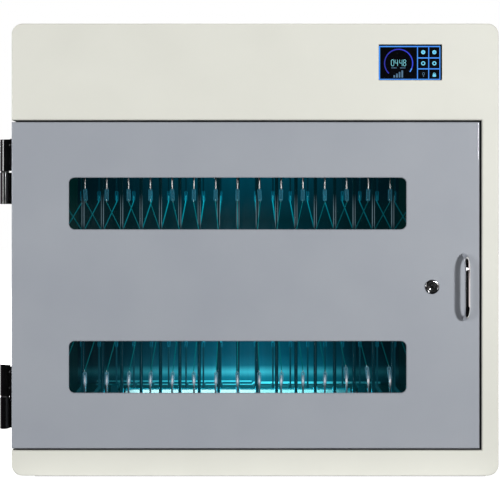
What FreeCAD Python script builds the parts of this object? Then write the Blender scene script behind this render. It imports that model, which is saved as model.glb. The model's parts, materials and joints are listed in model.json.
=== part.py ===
import FreeCAD
import Part
import math
import os

Vector = FreeCAD.Vector

# Carcass: x runs to the right, y runs from the front face to the back, z runs up
BODY_WIDTH = 730.0
BODY_HEIGHT = 678.0
BODY_DEPTH = 500.0
CORNER_RADIUS = 16.5
SHEET = 1.5
EDGE_ROUND = 2.5
FIT = 0.3
REAR_FLANGE = 15.0

# Cream front frame, a C that is open towards the hinges
FASCIA_HEIGHT = 145.0
STILE_WIDTH = 25.4
RAIL_HEIGHT = 38.4

# Door and its two windows
DOOR_DEPTH = 24.0
DOOR_GAP_SIDE = 3.3
DOOR_GAP_ENDS = 2.6
WINDOW_LEFT_MARGIN = 86.0
WINDOW_RIGHT_MARGIN = 109.9
WINDOW_HEIGHT = 77.5
WINDOW_END_MARGIN = 83.5
WINDOW_RADIUS = 8.5
WINDOW_EDGE_BEVEL = 1.1
WINDOW_LAP = 12.0
WINDOW_SETBACK = 7.0
GLAZING = 4.0

# Seal on the bulkhead that the door closes on
GASKET_SPACE = 3.0
GASKET_WIDTH = 8.0

# Chamber lining
CHAMBER_LEFT_INSET = 19.3
SERVICE_WIDTH = 72.3
SILL_STEP = 10.6
HEAD_STEP = 22.0
REAR_CAVITY = 40.0
CHANNEL_WIDTH = 40.0
CHANNEL_SETBACK = 80.0
CABLE_HOLE_WIDTH = 40.0
CABLE_HOLE_HEIGHT = 25.0

# Strung dividers
DIVIDER_COUNT = 19
RUNNER_WIDTH = 6.0
RUNNER_HEIGHT = 3.0
MID_ROD = 6.0
MID_ROD_SIDES = 6
POST = 3.2
POST_SIDES = 4
POST_FRONT_SETBACK = 13.5
POST_REAR_SETBACK = 52.0
POST_LENGTH = 78.0
SLEEVE = 6.3
SLEEVE_SIDES = 6
SLEEVE_LENGTH = 18.0
WIRE = 2.0
WIRE_SIDES = 4
WIRE_APEX_RISE = 69.0

# Lamp across the chamber floor
LAMP_LENGTH = 437.0
LAMP_DIAMETER = 16.0
LAMP_SETBACK = 152.0
LAMP_CLEARANCE = 2.0
LAMP_CAP_LENGTH = 14.0
LAMP_CAP_WALL = 0.6
HOLDER_WIDTH = 12.0
HOLDER_DEPTH = 24.0
HOLDER_CROWN = 6.0

# Charging sockets on the back wall
STRIP_DEPTH = 20.0
STRIP_HEIGHT = 36.0
STRIP_END_GAP = 2.0
PORT_WIDTH = 13.4
PORT_HEIGHT = 6.0
PORT_DEPTH = 14.0
PORT_WALL = 0.5
PORT_TONGUE = 1.9
PORT_TONGUE_INSET = 1.5

# Display in the fascia
DISPLAY_WIDTH = 95.0
DISPLAY_HEIGHT = 54.0
DISPLAY_FROM_RIGHT = 132.6
DISPLAY_FROM_TOP = 58.5
DISPLAY_RECESS = 0.2
MODULE_LAP = 5.0
MODULE_DEPTH = 6.0
BRACKET_WALL = 1.5
BRACKET_SILL = 8.0
BOARD_WIDTH = 110.0
BOARD_HEIGHT = 62.0
BOARD = 1.6
CHIP = 14.0
CHIP_HEIGHT = 2.4
STANDOFF_LENGTH = 7.0
STANDOFF_FLATS = 5.5
STANDOFF_INSET = 6.0

# Supplies in the service spaces
SUPPLY_WIDTH = 50.0
SUPPLY_DEPTH = 215.0
SUPPLY_HEIGHT = 115.0
SUPPLY_GAP = 3.0
SUPPLY_SETBACK = 35.0
MODULE_COUNT = 3
CHARGER_WIDTH = 150.0
CHARGER_DEPTH = 95.0
CHARGER_HEIGHT = 32.0
CHARGER_PITCH = 190.0
CHARGER_SETBACK = 260.0
BALLAST_WIDTH = 180.0
BALLAST_DEPTH = 40.0
BALLAST_HEIGHT = 28.0
BALLAST_SETBACK = 120.0
CASE_ROUND = 3.0

# Cooling fan on the rear panel
FAN_SIZE = 120.0
FAN_DEPTH = 25.0
FAN_FROM_RIGHT = 135.0
FAN_FROM_TOP = 85.0
FAN_BORE_RADIUS = 57.5
FAN_TIP_GAP = 2.5
FAN_HUB_RADIUS = 21.0
FAN_PLATE = 5.0
FAN_STRUT_WIDTH = 7.0
FAN_STRUTS = 4
FAN_BLADES = 7
FAN_AIR_GAP = 1.0
BLADE_CHORD = 20.0
BLADE_THICKNESS = 1.6
BLADE_ROOT_PITCH = 48.0
BLADE_TIP_PITCH = 28.0
SPINDLE_RADIUS = 3.0
RUNNING_CLEARANCE = 0.05
FAN_HOLE_SPACING = 105.0

# Rear panel openings
VENT_HEIGHT = 5.0
VENT_PITCH = 14.0
VENT_COUNT = 7
INTAKE_COUNT = 8
INTAKE_LENGTH = 80.0
INTAKE_FROM_LEFT = 90.0
INTAKE_FROM_BOTTOM = 70.0

# Mains inlet
INLET_WIDTH = 27.4
INLET_HEIGHT = 20.0
INLET_BODY = 26.0
INLET_FLANGE = 2.2
INLET_LIP = 2.6
INLET_FROM_RIGHT = 90.0
INLET_FROM_BOTTOM = 55.0
SOCKET_WIDTH = 24.2
SOCKET_HEIGHT = 16.4
SOCKET_DEPTH = 17.0
SOCKET_CHAMFER = 4.0
PIN_SPREAD = 7.0
PIN_OFFSET = 2.0
PIN_THICK = 2.0
PIN_TALL = 4.0
PIN_BELOW_MOUTH = 5.0

# Hinges on the left side
HINGE_HEIGHT = 98.0
HINGE_END_MARGIN = 74.2
BARREL_RADIUS = 7.5
BARREL_STANDOFF = 6.0
LEAF = 2.5
LEAF_REACH = 21.0
LEAF_ROOT = 5.0
LEAF_SCREW_REACH = 17.5
LEAF_SCREW_INSET = 12.0
HINGE_PIN_RADIUS = 3.0
HINGE_PIN_STOP = 4.0
WASHER = 2.4
WASHER_RADIUS = 6.0
WASHER_SIDES = 12

# Bow handle
HANDLE_FROM_EDGE = 23.7
HANDLE_RADIUS = 4.0
HANDLE_CENTRES = 93.0
HANDLE_REACH = 27.0
HANDLE_BEND = 20.0

# Cam lock
LOCK_FROM_EDGE = 71.5
LOCK_DROP = 2.3
LOCK_FACE_RADIUS = 11.0
LOCK_FACE = 2.5
LOCK_FACE_BEVEL = 1.4
LOCK_BARREL_RADIUS = 9.5
LOCK_PLUG_RADIUS = 6.5
LOCK_PLUG_RECESS = 0.6
KEYWAY_WIDTH = 1.8
KEYWAY_HEIGHT = 8.0
KEYWAY_DEPTH = 14.0
KEYWAY_TILT = -45.0
LOCK_NUT_FLATS = 24.0
LOCK_NUT = 3.5
CAM = 2.0
CAM_WIDTH = 16.0
CAM_CATCH = 10.0
CAM_CLEARANCE = 0.8
CAM_SQUARE = 7.0
CAM_SLOT_MARGIN = 4.0

# Door switch and its magnet
SENSOR_WIDTH = 16.0
SENSOR_HEIGHT = 36.0
SENSOR_DEPTH = 2.4
SENSOR_INSET = 10.0
SENSOR_RISE = 150.0
MAGNET_DEPTH = 6.0

# Screws
SCREW_RADIUS = 2.0
SCREW_CLEARANCE = 0.1
SCREW_HEAD_RADIUS = 3.6
SCREW_HEAD = 2.2
SCREW_GRIP = 3.0
HANDLE_SCREW_GRIP = 8.0
PANEL_SCREWS_ACROSS = 3
PANEL_SCREWS_UP = 3

# Places that several pieces share
left = -BODY_WIDTH / 2
right = BODY_WIDTH / 2
opening_right = right - STILE_WIDTH
opening_bottom = RAIL_HEIGHT
opening_top = BODY_HEIGHT - FASCIA_HEIGHT
frame_depth = DOOR_DEPTH + GASKET_SPACE

door_right = opening_right - DOOR_GAP_SIDE
door_bottom = opening_bottom + DOOR_GAP_ENDS
door_top = opening_top - DOOR_GAP_ENDS
door_mid = (door_bottom + door_top) / 2
inner_panel_front = DOOR_DEPTH - SHEET
window_left = left + WINDOW_LEFT_MARGIN
window_right = door_right - WINDOW_RIGHT_MARGIN
window_rise = (door_top - door_bottom - WINDOW_HEIGHT) / 2 - WINDOW_END_MARGIN
window_centres = {"upper_window": door_mid + window_rise, "lower_window": door_mid - window_rise}

chamber_left = left + CHAMBER_LEFT_INSET
chamber_right = right - SERVICE_WIDTH
chamber_floor = opening_bottom + SILL_STEP
chamber_ceiling = opening_top - HEAD_STEP
chamber_front = frame_depth + SHEET
chamber_back = BODY_DEPTH - REAR_CAVITY
chamber_mid_x = (chamber_left + chamber_right) / 2
rack_mid = (chamber_floor + chamber_ceiling) / 2
panel_front = BODY_DEPTH - SHEET

divider_pitch = (chamber_right - chamber_left) / DIVIDER_COUNT
post_front = chamber_front + POST_FRONT_SETBACK
post_rear = chamber_back - POST_REAR_SETBACK
rod_y = (post_front + post_rear) / 2
runner_top = chamber_floor + RUNNER_HEIGHT
runner_under = chamber_ceiling - RUNNER_HEIGHT

lamp_y = chamber_back - LAMP_SETBACK
lamp_z = runner_top + LAMP_CLEARANCE + LAMP_DIAMETER / 2
lamp_half = LAMP_LENGTH / 2

display_x = right - DISPLAY_FROM_RIGHT
display_z = BODY_HEIGHT - DISPLAY_FROM_TOP
module_back = SHEET + MODULE_DEPTH
bracket_back = module_back + BRACKET_WALL
board_front = bracket_back + STANDOFF_LENGTH

fan_x = right - FAN_FROM_RIGHT
fan_z = BODY_HEIGHT - FAN_FROM_TOP
fan_front = panel_front - FAN_DEPTH
inlet_x = right - INLET_FROM_RIGHT
inlet_z = INLET_FROM_BOTTOM

hinge_x = left - LEAF - BARREL_RADIUS - BARREL_STANDOFF
hinge_y = DOOR_DEPTH + GASKET_SPACE / 2
hinge_heights = [door_bottom + HINGE_END_MARGIN, door_top - HINGE_END_MARGIN]

handle_x = door_right - HANDLE_FROM_EDGE
lock_x = door_right - LOCK_FROM_EDGE
lock_z = door_mid - LOCK_DROP
cam_front = chamber_front + CAM_CLEARANCE
cam_back = cam_front + CAM
cam_length = chamber_right - lock_x + CAM_CATCH
sensor_x = chamber_right + SENSOR_INSET
sensor_z = door_mid + SENSOR_RISE
hole_radius = SCREW_RADIUS + SCREW_CLEARANCE


def block(x0, x1, y0, y1, z0, z1):
    """Return a box between two corners."""
    return Part.makeBox(x1 - x0, y1 - y0, z1 - z0, Vector(x0, y0, z0))


def rounded_plate(x0, x1, z0, z1, radius, y0, y1):
    """Return an upright plate whose four corners are rounded in the front view."""
    plate = block(x0, x1, y0, y1, z0, z1)
    corners = [edge for edge in plate.Edges if edge.BoundBox.YLength > (y1 - y0) / 2]
    return plate.makeFillet(radius, corners)


def edges_at_depth(shape, depth):
    """Return the edges that lie in the plane y = depth."""
    flat = 1e-4
    found = []
    for edge in shape.Edges:
        box = edge.BoundBox
        if abs(box.YMin - depth) < flat and abs(box.YMax - depth) < flat:
            found.append(edge)
    return found


def cylinder(start, end, radius):
    """Return a round bar between two points."""
    return Part.makeCylinder(radius, (end - start).Length, start, end - start)


def prism(sides, across_flats, start, end):
    """Return a regular bar between two points, with flats that face along the bar's local y."""
    circumradius = across_flats / 2 / math.cos(math.pi / sides)
    points = []
    for corner in range(sides + 1):
        angle = (corner + 0.5) * 2 * math.pi / sides + math.pi / 2
        points.append(Vector(circumradius * math.cos(angle), circumradius * math.sin(angle), 0))
    face = Part.Face(Part.makePolygon(points))
    bar = face.extrude(Vector(0, 0, (end - start).Length))
    bar.Placement = FreeCAD.Placement(start, FreeCAD.Rotation(Vector(0, 0, 1), end - start))
    return bar


def screw(seat, direction, grip):
    """Return a hexagon-head screw: its head stands on the seat, its shank runs along direction."""
    along = Vector(direction)
    along.normalize()
    head = prism(6, 2 * SCREW_HEAD_RADIUS, seat - along * SCREW_HEAD, seat)
    shank = prism(6, 2 * SCREW_RADIUS, seat, seat + along * grip)
    return head.fuse(shank).removeSplitter()


def screw_hole(seat, direction, depth):
    """Return the tool that clears a screw's shank."""
    along = Vector(direction)
    along.normalize()
    return prism(6, 2 * hole_radius, seat - along * depth, seat + along * depth)


def frame_outline(inset, y0, y1):
    """Return the C-shaped front frame as a solid, drawn in by inset on every side."""
    plate = rounded_plate(left + inset, right - inset, inset, BODY_HEIGHT - inset,
                          CORNER_RADIUS - inset, y0, y1)
    opening = block(left - SHEET, opening_right + inset, y0 - SHEET, y1 + SHEET,
                    opening_bottom - inset, opening_top + inset)
    return plate.cut(opening)


def make_front_frame():
    """Return the cream pan round the door, with the cut-out for the display."""
    outer = frame_outline(0, 0, frame_depth)
    outer = outer.makeFillet(EDGE_ROUND, edges_at_depth(outer, 0))
    inner = frame_outline(SHEET, SHEET, frame_depth + SHEET)
    cut_out = block(display_x - DISPLAY_WIDTH / 2, display_x + DISPLAY_WIDTH / 2, -SHEET, 2 * SHEET,
                    display_z - DISPLAY_HEIGHT / 2, display_z + DISPLAY_HEIGHT / 2)
    return outer.cut(inner).cut(cut_out)


def panel_screw_seats():
    """Return where the rear panel's screws sit, evenly spaced round its edge."""
    inset = SHEET + REAR_FLANGE / 2
    width = BODY_WIDTH - 2 * inset
    height = BODY_HEIGHT - 2 * inset
    seats = []
    for column in range(PANEL_SCREWS_ACROSS):
        for row in range(PANEL_SCREWS_UP):
            on_edge = column in (0, PANEL_SCREWS_ACROSS - 1) or row in (0, PANEL_SCREWS_UP - 1)
            if on_edge:
                x = left + inset + width * column / (PANEL_SCREWS_ACROSS - 1)
                z = inset + height * row / (PANEL_SCREWS_UP - 1)
                seats.append(Vector(x, BODY_DEPTH, z))
    return seats


def make_body_wrap():
    """Return the folded tube of top, sides and bottom, with a flange for the rear panel."""
    outer = rounded_plate(left, right, 0, BODY_HEIGHT, CORNER_RADIUS, frame_depth, panel_front)
    inner = rounded_plate(left + SHEET, right - SHEET, SHEET, BODY_HEIGHT - SHEET,
                          CORNER_RADIUS - SHEET, frame_depth - SHEET, panel_front - SHEET)
    mouth = block(left + REAR_FLANGE, right - REAR_FLANGE, frame_depth, BODY_DEPTH,
                  REAR_FLANGE, BODY_HEIGHT - REAR_FLANGE)
    wrap = outer.cut(inner).cut(mouth)
    for seat in panel_screw_seats():
        wrap = wrap.cut(screw_hole(seat, (0, -1, 0), SHEET * 3))
    for seat in leaf_screw_seats(1):
        wrap = wrap.cut(screw_hole(seat, (1, 0, 0), LEAF + SHEET * 3))
    return wrap


def slot(x0, x1, z0, z1):
    """Return the tool for a straight vent slot through the rear panel."""
    return block(x0, x1, panel_front - SHEET, BODY_DEPTH + SHEET, z0, z1)


def make_rear_panel():
    """Return the flat back with the fan grille, the air intake and the inlet's cut-out."""
    panel = rounded_plate(left, right, 0, BODY_HEIGHT, CORNER_RADIUS, panel_front, BODY_DEPTH)
    for row in range(VENT_COUNT):
        rise = (row - (VENT_COUNT - 1) / 2) * VENT_PITCH
        half = math.sqrt(FAN_BORE_RADIUS ** 2 - rise ** 2) - VENT_HEIGHT
        panel = panel.cut(slot(fan_x - half, fan_x + half,
                               fan_z + rise - VENT_HEIGHT / 2, fan_z + rise + VENT_HEIGHT / 2))
    for column in range(INTAKE_COUNT):
        x = left + INTAKE_FROM_LEFT + column * VENT_PITCH
        panel = panel.cut(slot(x, x + VENT_HEIGHT, INTAKE_FROM_BOTTOM,
                               INTAKE_FROM_BOTTOM + INTAKE_LENGTH))
    panel = panel.cut(block(inlet_x - INLET_WIDTH / 2 - FIT, inlet_x + INLET_WIDTH / 2 + FIT,
                            panel_front - SHEET, BODY_DEPTH + SHEET,
                            inlet_z - INLET_HEIGHT / 2 - FIT, inlet_z + INLET_HEIGHT / 2 + FIT))
    for seat in panel_screw_seats() + fan_screw_seats():
        panel = panel.cut(screw_hole(seat, (0, -1, 0), SHEET * 2))
    return panel


def make_front_bulkhead():
    """Return the plate behind the front frame, open to the chamber."""
    plate = rounded_plate(left + SHEET, right - SHEET, SHEET, BODY_HEIGHT - SHEET,
                          CORNER_RADIUS - SHEET, frame_depth, chamber_front)
    opening = block(chamber_left, chamber_right, frame_depth - SHEET, chamber_front + SHEET,
                    chamber_floor, chamber_ceiling)
    cable_hole = block(display_x - CABLE_HOLE_WIDTH / 2, display_x + CABLE_HOLE_WIDTH / 2,
                       frame_depth - SHEET, chamber_front + SHEET,
                       display_z - CABLE_HOLE_HEIGHT / 2, display_z + CABLE_HOLE_HEIGHT / 2)
    return plate.cut(opening).cut(cable_hole)


def make_chamber():
    """Return the five polished sheets that line the chamber, by name."""
    x0 = chamber_left - SHEET
    x1 = chamber_right + SHEET
    right_wall = block(chamber_right, x1, chamber_front, chamber_back, chamber_floor, chamber_ceiling)
    throw = math.sqrt(cam_length ** 2 - (cam_length - CAM_CATCH) ** 2)
    cam_slot = block(chamber_right - SHEET, x1 + SHEET, chamber_front - SHEET,
                     cam_back + CAM_SLOT_MARGIN, lock_z - CAM_WIDTH / 2 - CAM_SLOT_MARGIN,
                     lock_z + throw + CAM_SLOT_MARGIN)
    return {
        "chamber_floor": block(x0, x1, chamber_front, chamber_back,
                               chamber_floor - SHEET, chamber_floor),
        "chamber_ceiling": block(x0, x1, chamber_front, chamber_back,
                                 chamber_ceiling, chamber_ceiling + SHEET),
        "chamber_left_wall": block(x0, chamber_left, chamber_front, chamber_back,
                                   chamber_floor, chamber_ceiling),
        "chamber_right_wall": right_wall.cut(cam_slot),
        "chamber_back_wall": block(x0, x1, chamber_back, chamber_back + SHEET,
                                   chamber_floor - SHEET, chamber_ceiling + SHEET),
    }


def make_base_channels():
    """Return the two channels that carry the chamber floor."""
    channels = []
    for middle in (chamber_front + CHANNEL_SETBACK, chamber_back - CHANNEL_SETBACK):
        y0 = middle - CHANNEL_WIDTH / 2
        y1 = middle + CHANNEL_WIDTH / 2
        bar = block(chamber_left, chamber_right, y0, y1, SHEET, chamber_floor - SHEET)
        hollow = block(chamber_left - SHEET, chamber_right + SHEET, y0 + SHEET, y1 - SHEET,
                       0, chamber_floor - 2 * SHEET)
        channels.append(bar.cut(hollow))
    return channels


def divider_places():
    """Return the x of every divider, half a pitch in from each wall."""
    return [chamber_left + divider_pitch * (index + 0.5) for index in range(DIVIDER_COUNT)]


def make_wire(x, post_y, sign):
    """Return one taut wire from the end of a sleeve to the flat of the middle rod."""
    sleeve_end = rack_mid + sign * (chamber_ceiling - rack_mid - RUNNER_HEIGHT
                                    - POST_LENGTH - SLEEVE_LENGTH)
    apex = rack_mid + sign * WIRE_APEX_RISE
    towards_rod = 1 if post_y < rod_y else -1
    start = Vector(x, post_y, sleeve_end)
    end = Vector(x, rod_y - towards_rod * MID_ROD / 2, apex)
    along = end - start
    along.normalize()
    bar = prism(WIRE_SIDES, WIRE, start - along * SLEEVE, end + along * MID_ROD)
    y0, y1 = sorted((post_y - towards_rod * SLEEVE, end.y))
    z0, z1 = sorted((sleeve_end, rack_mid))
    return bar.common(block(x - SLEEVE, x + SLEEVE, y0, y1, z0, z1))


def make_dividers():
    """Return the strung dividers: runners, middle rods, posts, sleeves and wires."""
    groups = {"divider_runners": [], "divider_mid_rods": [], "divider_posts": [],
              "post_sleeves": [], "divider_wires": []}
    for x in divider_places():
        for z0 in (chamber_floor, runner_under):
            groups["divider_runners"].append(
                block(x - RUNNER_WIDTH / 2, x + RUNNER_WIDTH / 2, chamber_front, chamber_back,
                      z0, z0 + RUNNER_HEIGHT))
        groups["divider_mid_rods"].append(
            prism(MID_ROD_SIDES, MID_ROD, Vector(x, rod_y, runner_top), Vector(x, rod_y, runner_under)))
        for post_y in (post_front, post_rear):
            for root, sign in ((runner_top, -1), (runner_under, 1)):
                foot = Vector(x, post_y, root)
                tip = foot - Vector(0, 0, sign * POST_LENGTH)
                end = tip - Vector(0, 0, sign * SLEEVE_LENGTH)
                groups["divider_posts"].append(prism(POST_SIDES, POST, foot, tip))
                groups["post_sleeves"].append(prism(SLEEVE_SIDES, SLEEVE, tip, end))
                groups["divider_wires"].append(make_wire(x, post_y, sign))
    return groups


def make_lamp():
    """Return the lamp tube, its end caps and the holders that stand on the floor."""
    radius = LAMP_DIAMETER / 2
    glass_half = lamp_half - LAMP_CAP_LENGTH
    tube = cylinder(Vector(chamber_mid_x - glass_half, lamp_y, lamp_z),
                    Vector(chamber_mid_x + glass_half, lamp_y, lamp_z), radius)
    caps = []
    holders = []
    for sign in (-1, 1):
        inner = Vector(chamber_mid_x + sign * glass_half, lamp_y, lamp_z)
        outer = Vector(chamber_mid_x + sign * lamp_half, lamp_y, lamp_z)
        caps.append(cylinder(inner, outer, radius + LAMP_CAP_WALL))
        x0, x1 = sorted((outer.x, outer.x + sign * HOLDER_WIDTH))
        holders.append(block(x0, x1, lamp_y - HOLDER_DEPTH / 2, lamp_y + HOLDER_DEPTH / 2,
                             chamber_floor, lamp_z + radius + HOLDER_CROWN))
    runners = [block(x - RUNNER_WIDTH / 2 - FIT, x + RUNNER_WIDTH / 2 + FIT, chamber_front,
                     chamber_back, chamber_floor - FIT, runner_top + FIT) for x in divider_places()]
    notched = []
    for holder in holders:
        for runner in runners:
            holder = holder.cut(runner)
        notched.append(holder)
    return {"lamp_tube": [tube], "lamp_end_caps": caps, "lamp_holders": notched}


def make_charging_strip():
    """Return the strip on the back wall and one socket for each bay between dividers."""
    front = chamber_back - STRIP_DEPTH
    strip = block(chamber_left + STRIP_END_GAP, chamber_right - STRIP_END_GAP, front, chamber_back,
                  rack_mid - STRIP_HEIGHT / 2, rack_mid + STRIP_HEIGHT / 2)
    strip = strip.makeFillet(CASE_ROUND, [edge for edge in edges_at_depth(strip, front)
                                          if edge.BoundBox.XLength > STRIP_HEIGHT])
    places = divider_places()
    ports = []
    for before, after in zip(places, places[1:]):
        x = (before + after) / 2
        half_x = PORT_WIDTH / 2
        half_z = PORT_HEIGHT / 2
        shell = block(x - half_x, x + half_x, front, front + PORT_DEPTH,
                      rack_mid - half_z, rack_mid + half_z)
        strip = strip.cut(shell)
        inside = block(x - half_x + PORT_WALL, x + half_x - PORT_WALL, front - PORT_WALL,
                       front + PORT_DEPTH - PORT_WALL,
                       rack_mid - half_z + PORT_WALL, rack_mid + half_z - PORT_WALL)
        tongue = block(x - half_x + 2 * PORT_WALL, x + half_x - 2 * PORT_WALL,
                       front + PORT_TONGUE_INSET, front + PORT_DEPTH,
                       rack_mid - PORT_TONGUE / 2, rack_mid + PORT_TONGUE / 2)
        ports.append(shell.cut(inside).fuse(tongue).removeSplitter())
    return {"charging_strip": [strip], "charging_ports": ports}


def make_display():
    """Return the display stack behind the fascia: glass, module, bracket, board and standoffs."""
    half_x = DISPLAY_WIDTH / 2
    half_z = DISPLAY_HEIGHT / 2
    glass = block(display_x - half_x + FIT, display_x + half_x - FIT, DISPLAY_RECESS, SHEET,
                  display_z - half_z + FIT, display_z + half_z - FIT)
    module_x = half_x + MODULE_LAP
    module_z = half_z + MODULE_LAP
    module = block(display_x - module_x, display_x + module_x, SHEET, module_back,
                   display_z - module_z, display_z + module_z)
    case_x = module_x + FIT + BRACKET_WALL
    case_z = module_z + FIT + BRACKET_WALL
    bracket = block(display_x - case_x, display_x + case_x, SHEET, bracket_back,
                    display_z - case_z, display_z + case_z)
    pocket = block(display_x - module_x - FIT, display_x + module_x + FIT, 0, module_back,
                   display_z - module_z - FIT, display_z + module_z + FIT)
    window = block(display_x - module_x + BRACKET_SILL + STANDOFF_INSET,
                   display_x + module_x - BRACKET_SILL - STANDOFF_INSET, 0,
                   bracket_back + SHEET, display_z - module_z + BRACKET_SILL + STANDOFF_INSET,
                   display_z + module_z - BRACKET_SILL - STANDOFF_INSET)
    bracket = bracket.cut(pocket).cut(window)
    board = block(display_x - BOARD_WIDTH / 2, display_x + BOARD_WIDTH / 2, board_front,
                  board_front + BOARD, display_z - BOARD_HEIGHT / 2, display_z + BOARD_HEIGHT / 2)
    for offset in (-1.5, 0, 1.5):
        x = display_x + offset * CHIP
        board = board.fuse(block(x - CHIP / 2, x + CHIP / 2, board_front + BOARD,
                                 board_front + BOARD + CHIP_HEIGHT,
                                 display_z - CHIP / 2, display_z + CHIP / 2))
    standoffs = []
    for sign_x in (-1, 1):
        for sign_z in (-1, 1):
            x = display_x + sign_x * (BOARD_WIDTH / 2 - STANDOFF_INSET)
            z = display_z + sign_z * (BOARD_HEIGHT / 2 - STANDOFF_INSET)
            standoffs.append(prism(6, STANDOFF_FLATS, Vector(x, bracket_back, z),
                                   Vector(x, board_front, z)))
    return {"display_glass": [glass], "display_module": [module], "display_bracket": [bracket],
            "control_board": [board.removeSplitter()], "board_standoffs": standoffs}


def make_supplies():
    """Return the power supply, the charger modules and the lamp ballast."""
    x0 = chamber_right + SHEET + SUPPLY_GAP
    y1 = panel_front - SUPPLY_SETBACK
    supply = block(x0, x0 + SUPPLY_WIDTH, y1 - SUPPLY_DEPTH, y1, SHEET, SHEET + SUPPLY_HEIGHT)
    top = chamber_ceiling + SHEET
    chargers = []
    for index in range(MODULE_COUNT):
        middle = chamber_mid_x + (index - (MODULE_COUNT - 1) / 2) * CHARGER_PITCH
        y0 = chamber_back - CHARGER_SETBACK
        chargers.append(block(middle - CHARGER_WIDTH / 2, middle + CHARGER_WIDTH / 2, y0,
                              y0 + CHARGER_DEPTH, top, top + CHARGER_HEIGHT))
    y0 = chamber_back - BALLAST_SETBACK
    ballast = block(chamber_mid_x - BALLAST_WIDTH / 2, chamber_mid_x + BALLAST_WIDTH / 2, y0,
                    y0 + BALLAST_DEPTH, top, top + BALLAST_HEIGHT)
    return {"power_supply": [supply], "charger_modules": chargers, "lamp_ballast": [ballast]}


def fan_screw_seats():
    """Return the four screw seats of the fan on the outside of the rear panel."""
    half = FAN_HOLE_SPACING / 2
    return [Vector(fan_x + sx * half, BODY_DEPTH, fan_z + sz * half)
            for sx in (-1, 1) for sz in (-1, 1)]


def make_fan_frame():
    """Return the square fan frame with its motor plate on struts."""
    half = FAN_SIZE / 2
    centre = Vector(fan_x, fan_front, fan_z)
    back = Vector(fan_x, panel_front, fan_z)
    plate_back = Vector(fan_x, fan_front + FAN_PLATE, fan_z)
    frame = block(fan_x - half, fan_x + half, fan_front, panel_front, fan_z - half, fan_z + half)
    frame = frame.cut(cylinder(centre, back, FAN_BORE_RADIUS))
    motor = cylinder(centre, plate_back, FAN_HUB_RADIUS)
    ring = cylinder(centre, plate_back, FAN_BORE_RADIUS + FAN_TIP_GAP / 4)
    for index in range(FAN_STRUTS):
        strut = block(fan_x, fan_x + half, fan_front, fan_front + FAN_PLATE,
                      fan_z - FAN_STRUT_WIDTH / 2, fan_z + FAN_STRUT_WIDTH / 2)
        strut.rotate(centre, Vector(0, 1, 0), 360.0 * index / FAN_STRUTS)
        motor = motor.fuse(strut.common(ring))
    frame = frame.fuse(motor)
    frame = frame.cut(cylinder(centre, plate_back, SPINDLE_RADIUS + RUNNING_CLEARANCE))
    for seat in fan_screw_seats():
        frame = frame.cut(screw_hole(seat, (0, -1, 0), SHEET + FAN_PLATE))
    return frame.removeSplitter()


def blade_section(radius, pitch):
    """Return the closed outline of a blade at one radius, before it is placed."""
    half = BLADE_CHORD / 2
    rim = BLADE_THICKNESS / 2
    outline = Part.makePolygon([Vector(radius, -half, rim), Vector(radius, half, rim),
                                Vector(radius, half, -rim), Vector(radius, -half, -rim),
                                Vector(radius, -half, rim)])
    outline.rotate(Vector(0, 0, 0), Vector(1, 0, 0), pitch)
    return outline


def make_fan_rotor():
    """Return the rotor: hub, spindle and twisted blades."""
    hub_front = fan_front + FAN_PLATE + FAN_AIR_GAP
    hub_back = panel_front - FAN_AIR_GAP
    rotor = cylinder(Vector(fan_x, hub_front, fan_z), Vector(fan_x, hub_back, fan_z), FAN_HUB_RADIUS)
    rotor = rotor.fuse(cylinder(Vector(fan_x, fan_front, fan_z), Vector(fan_x, hub_front, fan_z),
                                SPINDLE_RADIUS))
    tip = FAN_BORE_RADIUS - FAN_TIP_GAP
    root = FAN_HUB_RADIUS - FAN_TIP_GAP
    blade = Part.makeLoft([blade_section(root, BLADE_ROOT_PITCH), blade_section(tip, BLADE_TIP_PITCH)],
                          True, True)
    blade.rotate(Vector(0, 0, 0), Vector(1, 0, 0), 90)
    blade.translate(Vector(fan_x, (hub_front + hub_back) / 2, fan_z))
    for index in range(FAN_BLADES):
        copy = blade.copy()
        copy.rotate(Vector(fan_x, 0, fan_z), Vector(0, 1, 0), 360.0 * index / FAN_BLADES)
        rotor = rotor.fuse(copy)
    return rotor


def make_inlet():
    """Return the mains inlet's moulding and its three blades."""
    back = BODY_DEPTH + INLET_FLANGE
    body = block(inlet_x - INLET_WIDTH / 2, inlet_x + INLET_WIDTH / 2, BODY_DEPTH - INLET_BODY,
                 BODY_DEPTH, inlet_z - INLET_HEIGHT / 2, inlet_z + INLET_HEIGHT / 2)
    flange = rounded_plate(inlet_x - INLET_WIDTH / 2 - INLET_LIP, inlet_x + INLET_WIDTH / 2 + INLET_LIP,
                           inlet_z - INLET_HEIGHT / 2 - INLET_LIP,
                           inlet_z + INLET_HEIGHT / 2 + INLET_LIP, INLET_LIP, BODY_DEPTH, back)
    socket = block(inlet_x - SOCKET_WIDTH / 2, inlet_x + SOCKET_WIDTH / 2, back - SOCKET_DEPTH,
                   back + SHEET, inlet_z - SOCKET_HEIGHT / 2, inlet_z + SOCKET_HEIGHT / 2)
    upper = [edge for edge in socket.Edges
             if edge.BoundBox.YLength > SOCKET_DEPTH and edge.BoundBox.ZMin > inlet_z]
    socket = socket.makeChamfer(SOCKET_CHAMFER, upper)
    moulding = body.fuse(flange).cut(socket).removeSplitter()
    pins = []
    for step in (-1, 0, 1):
        x = inlet_x + step * PIN_SPREAD
        z = inlet_z + (PIN_OFFSET if step == 0 else -PIN_OFFSET)
        pins.append(block(x - PIN_THICK / 2, x + PIN_THICK / 2, back - SOCKET_DEPTH,
                          back - PIN_BELOW_MOUTH, z - PIN_TALL / 2, z + PIN_TALL / 2))
    return {"power_inlet": [moulding], "inlet_pins": pins}


def knuckle_span(middle, side):
    """Return the lower and upper end of one knuckle: the door's is above the cabinet's."""
    if side < 0:
        return middle + WASHER / 2, middle + HINGE_HEIGHT / 2
    return middle - HINGE_HEIGHT / 2, middle - WASHER / 2


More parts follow.
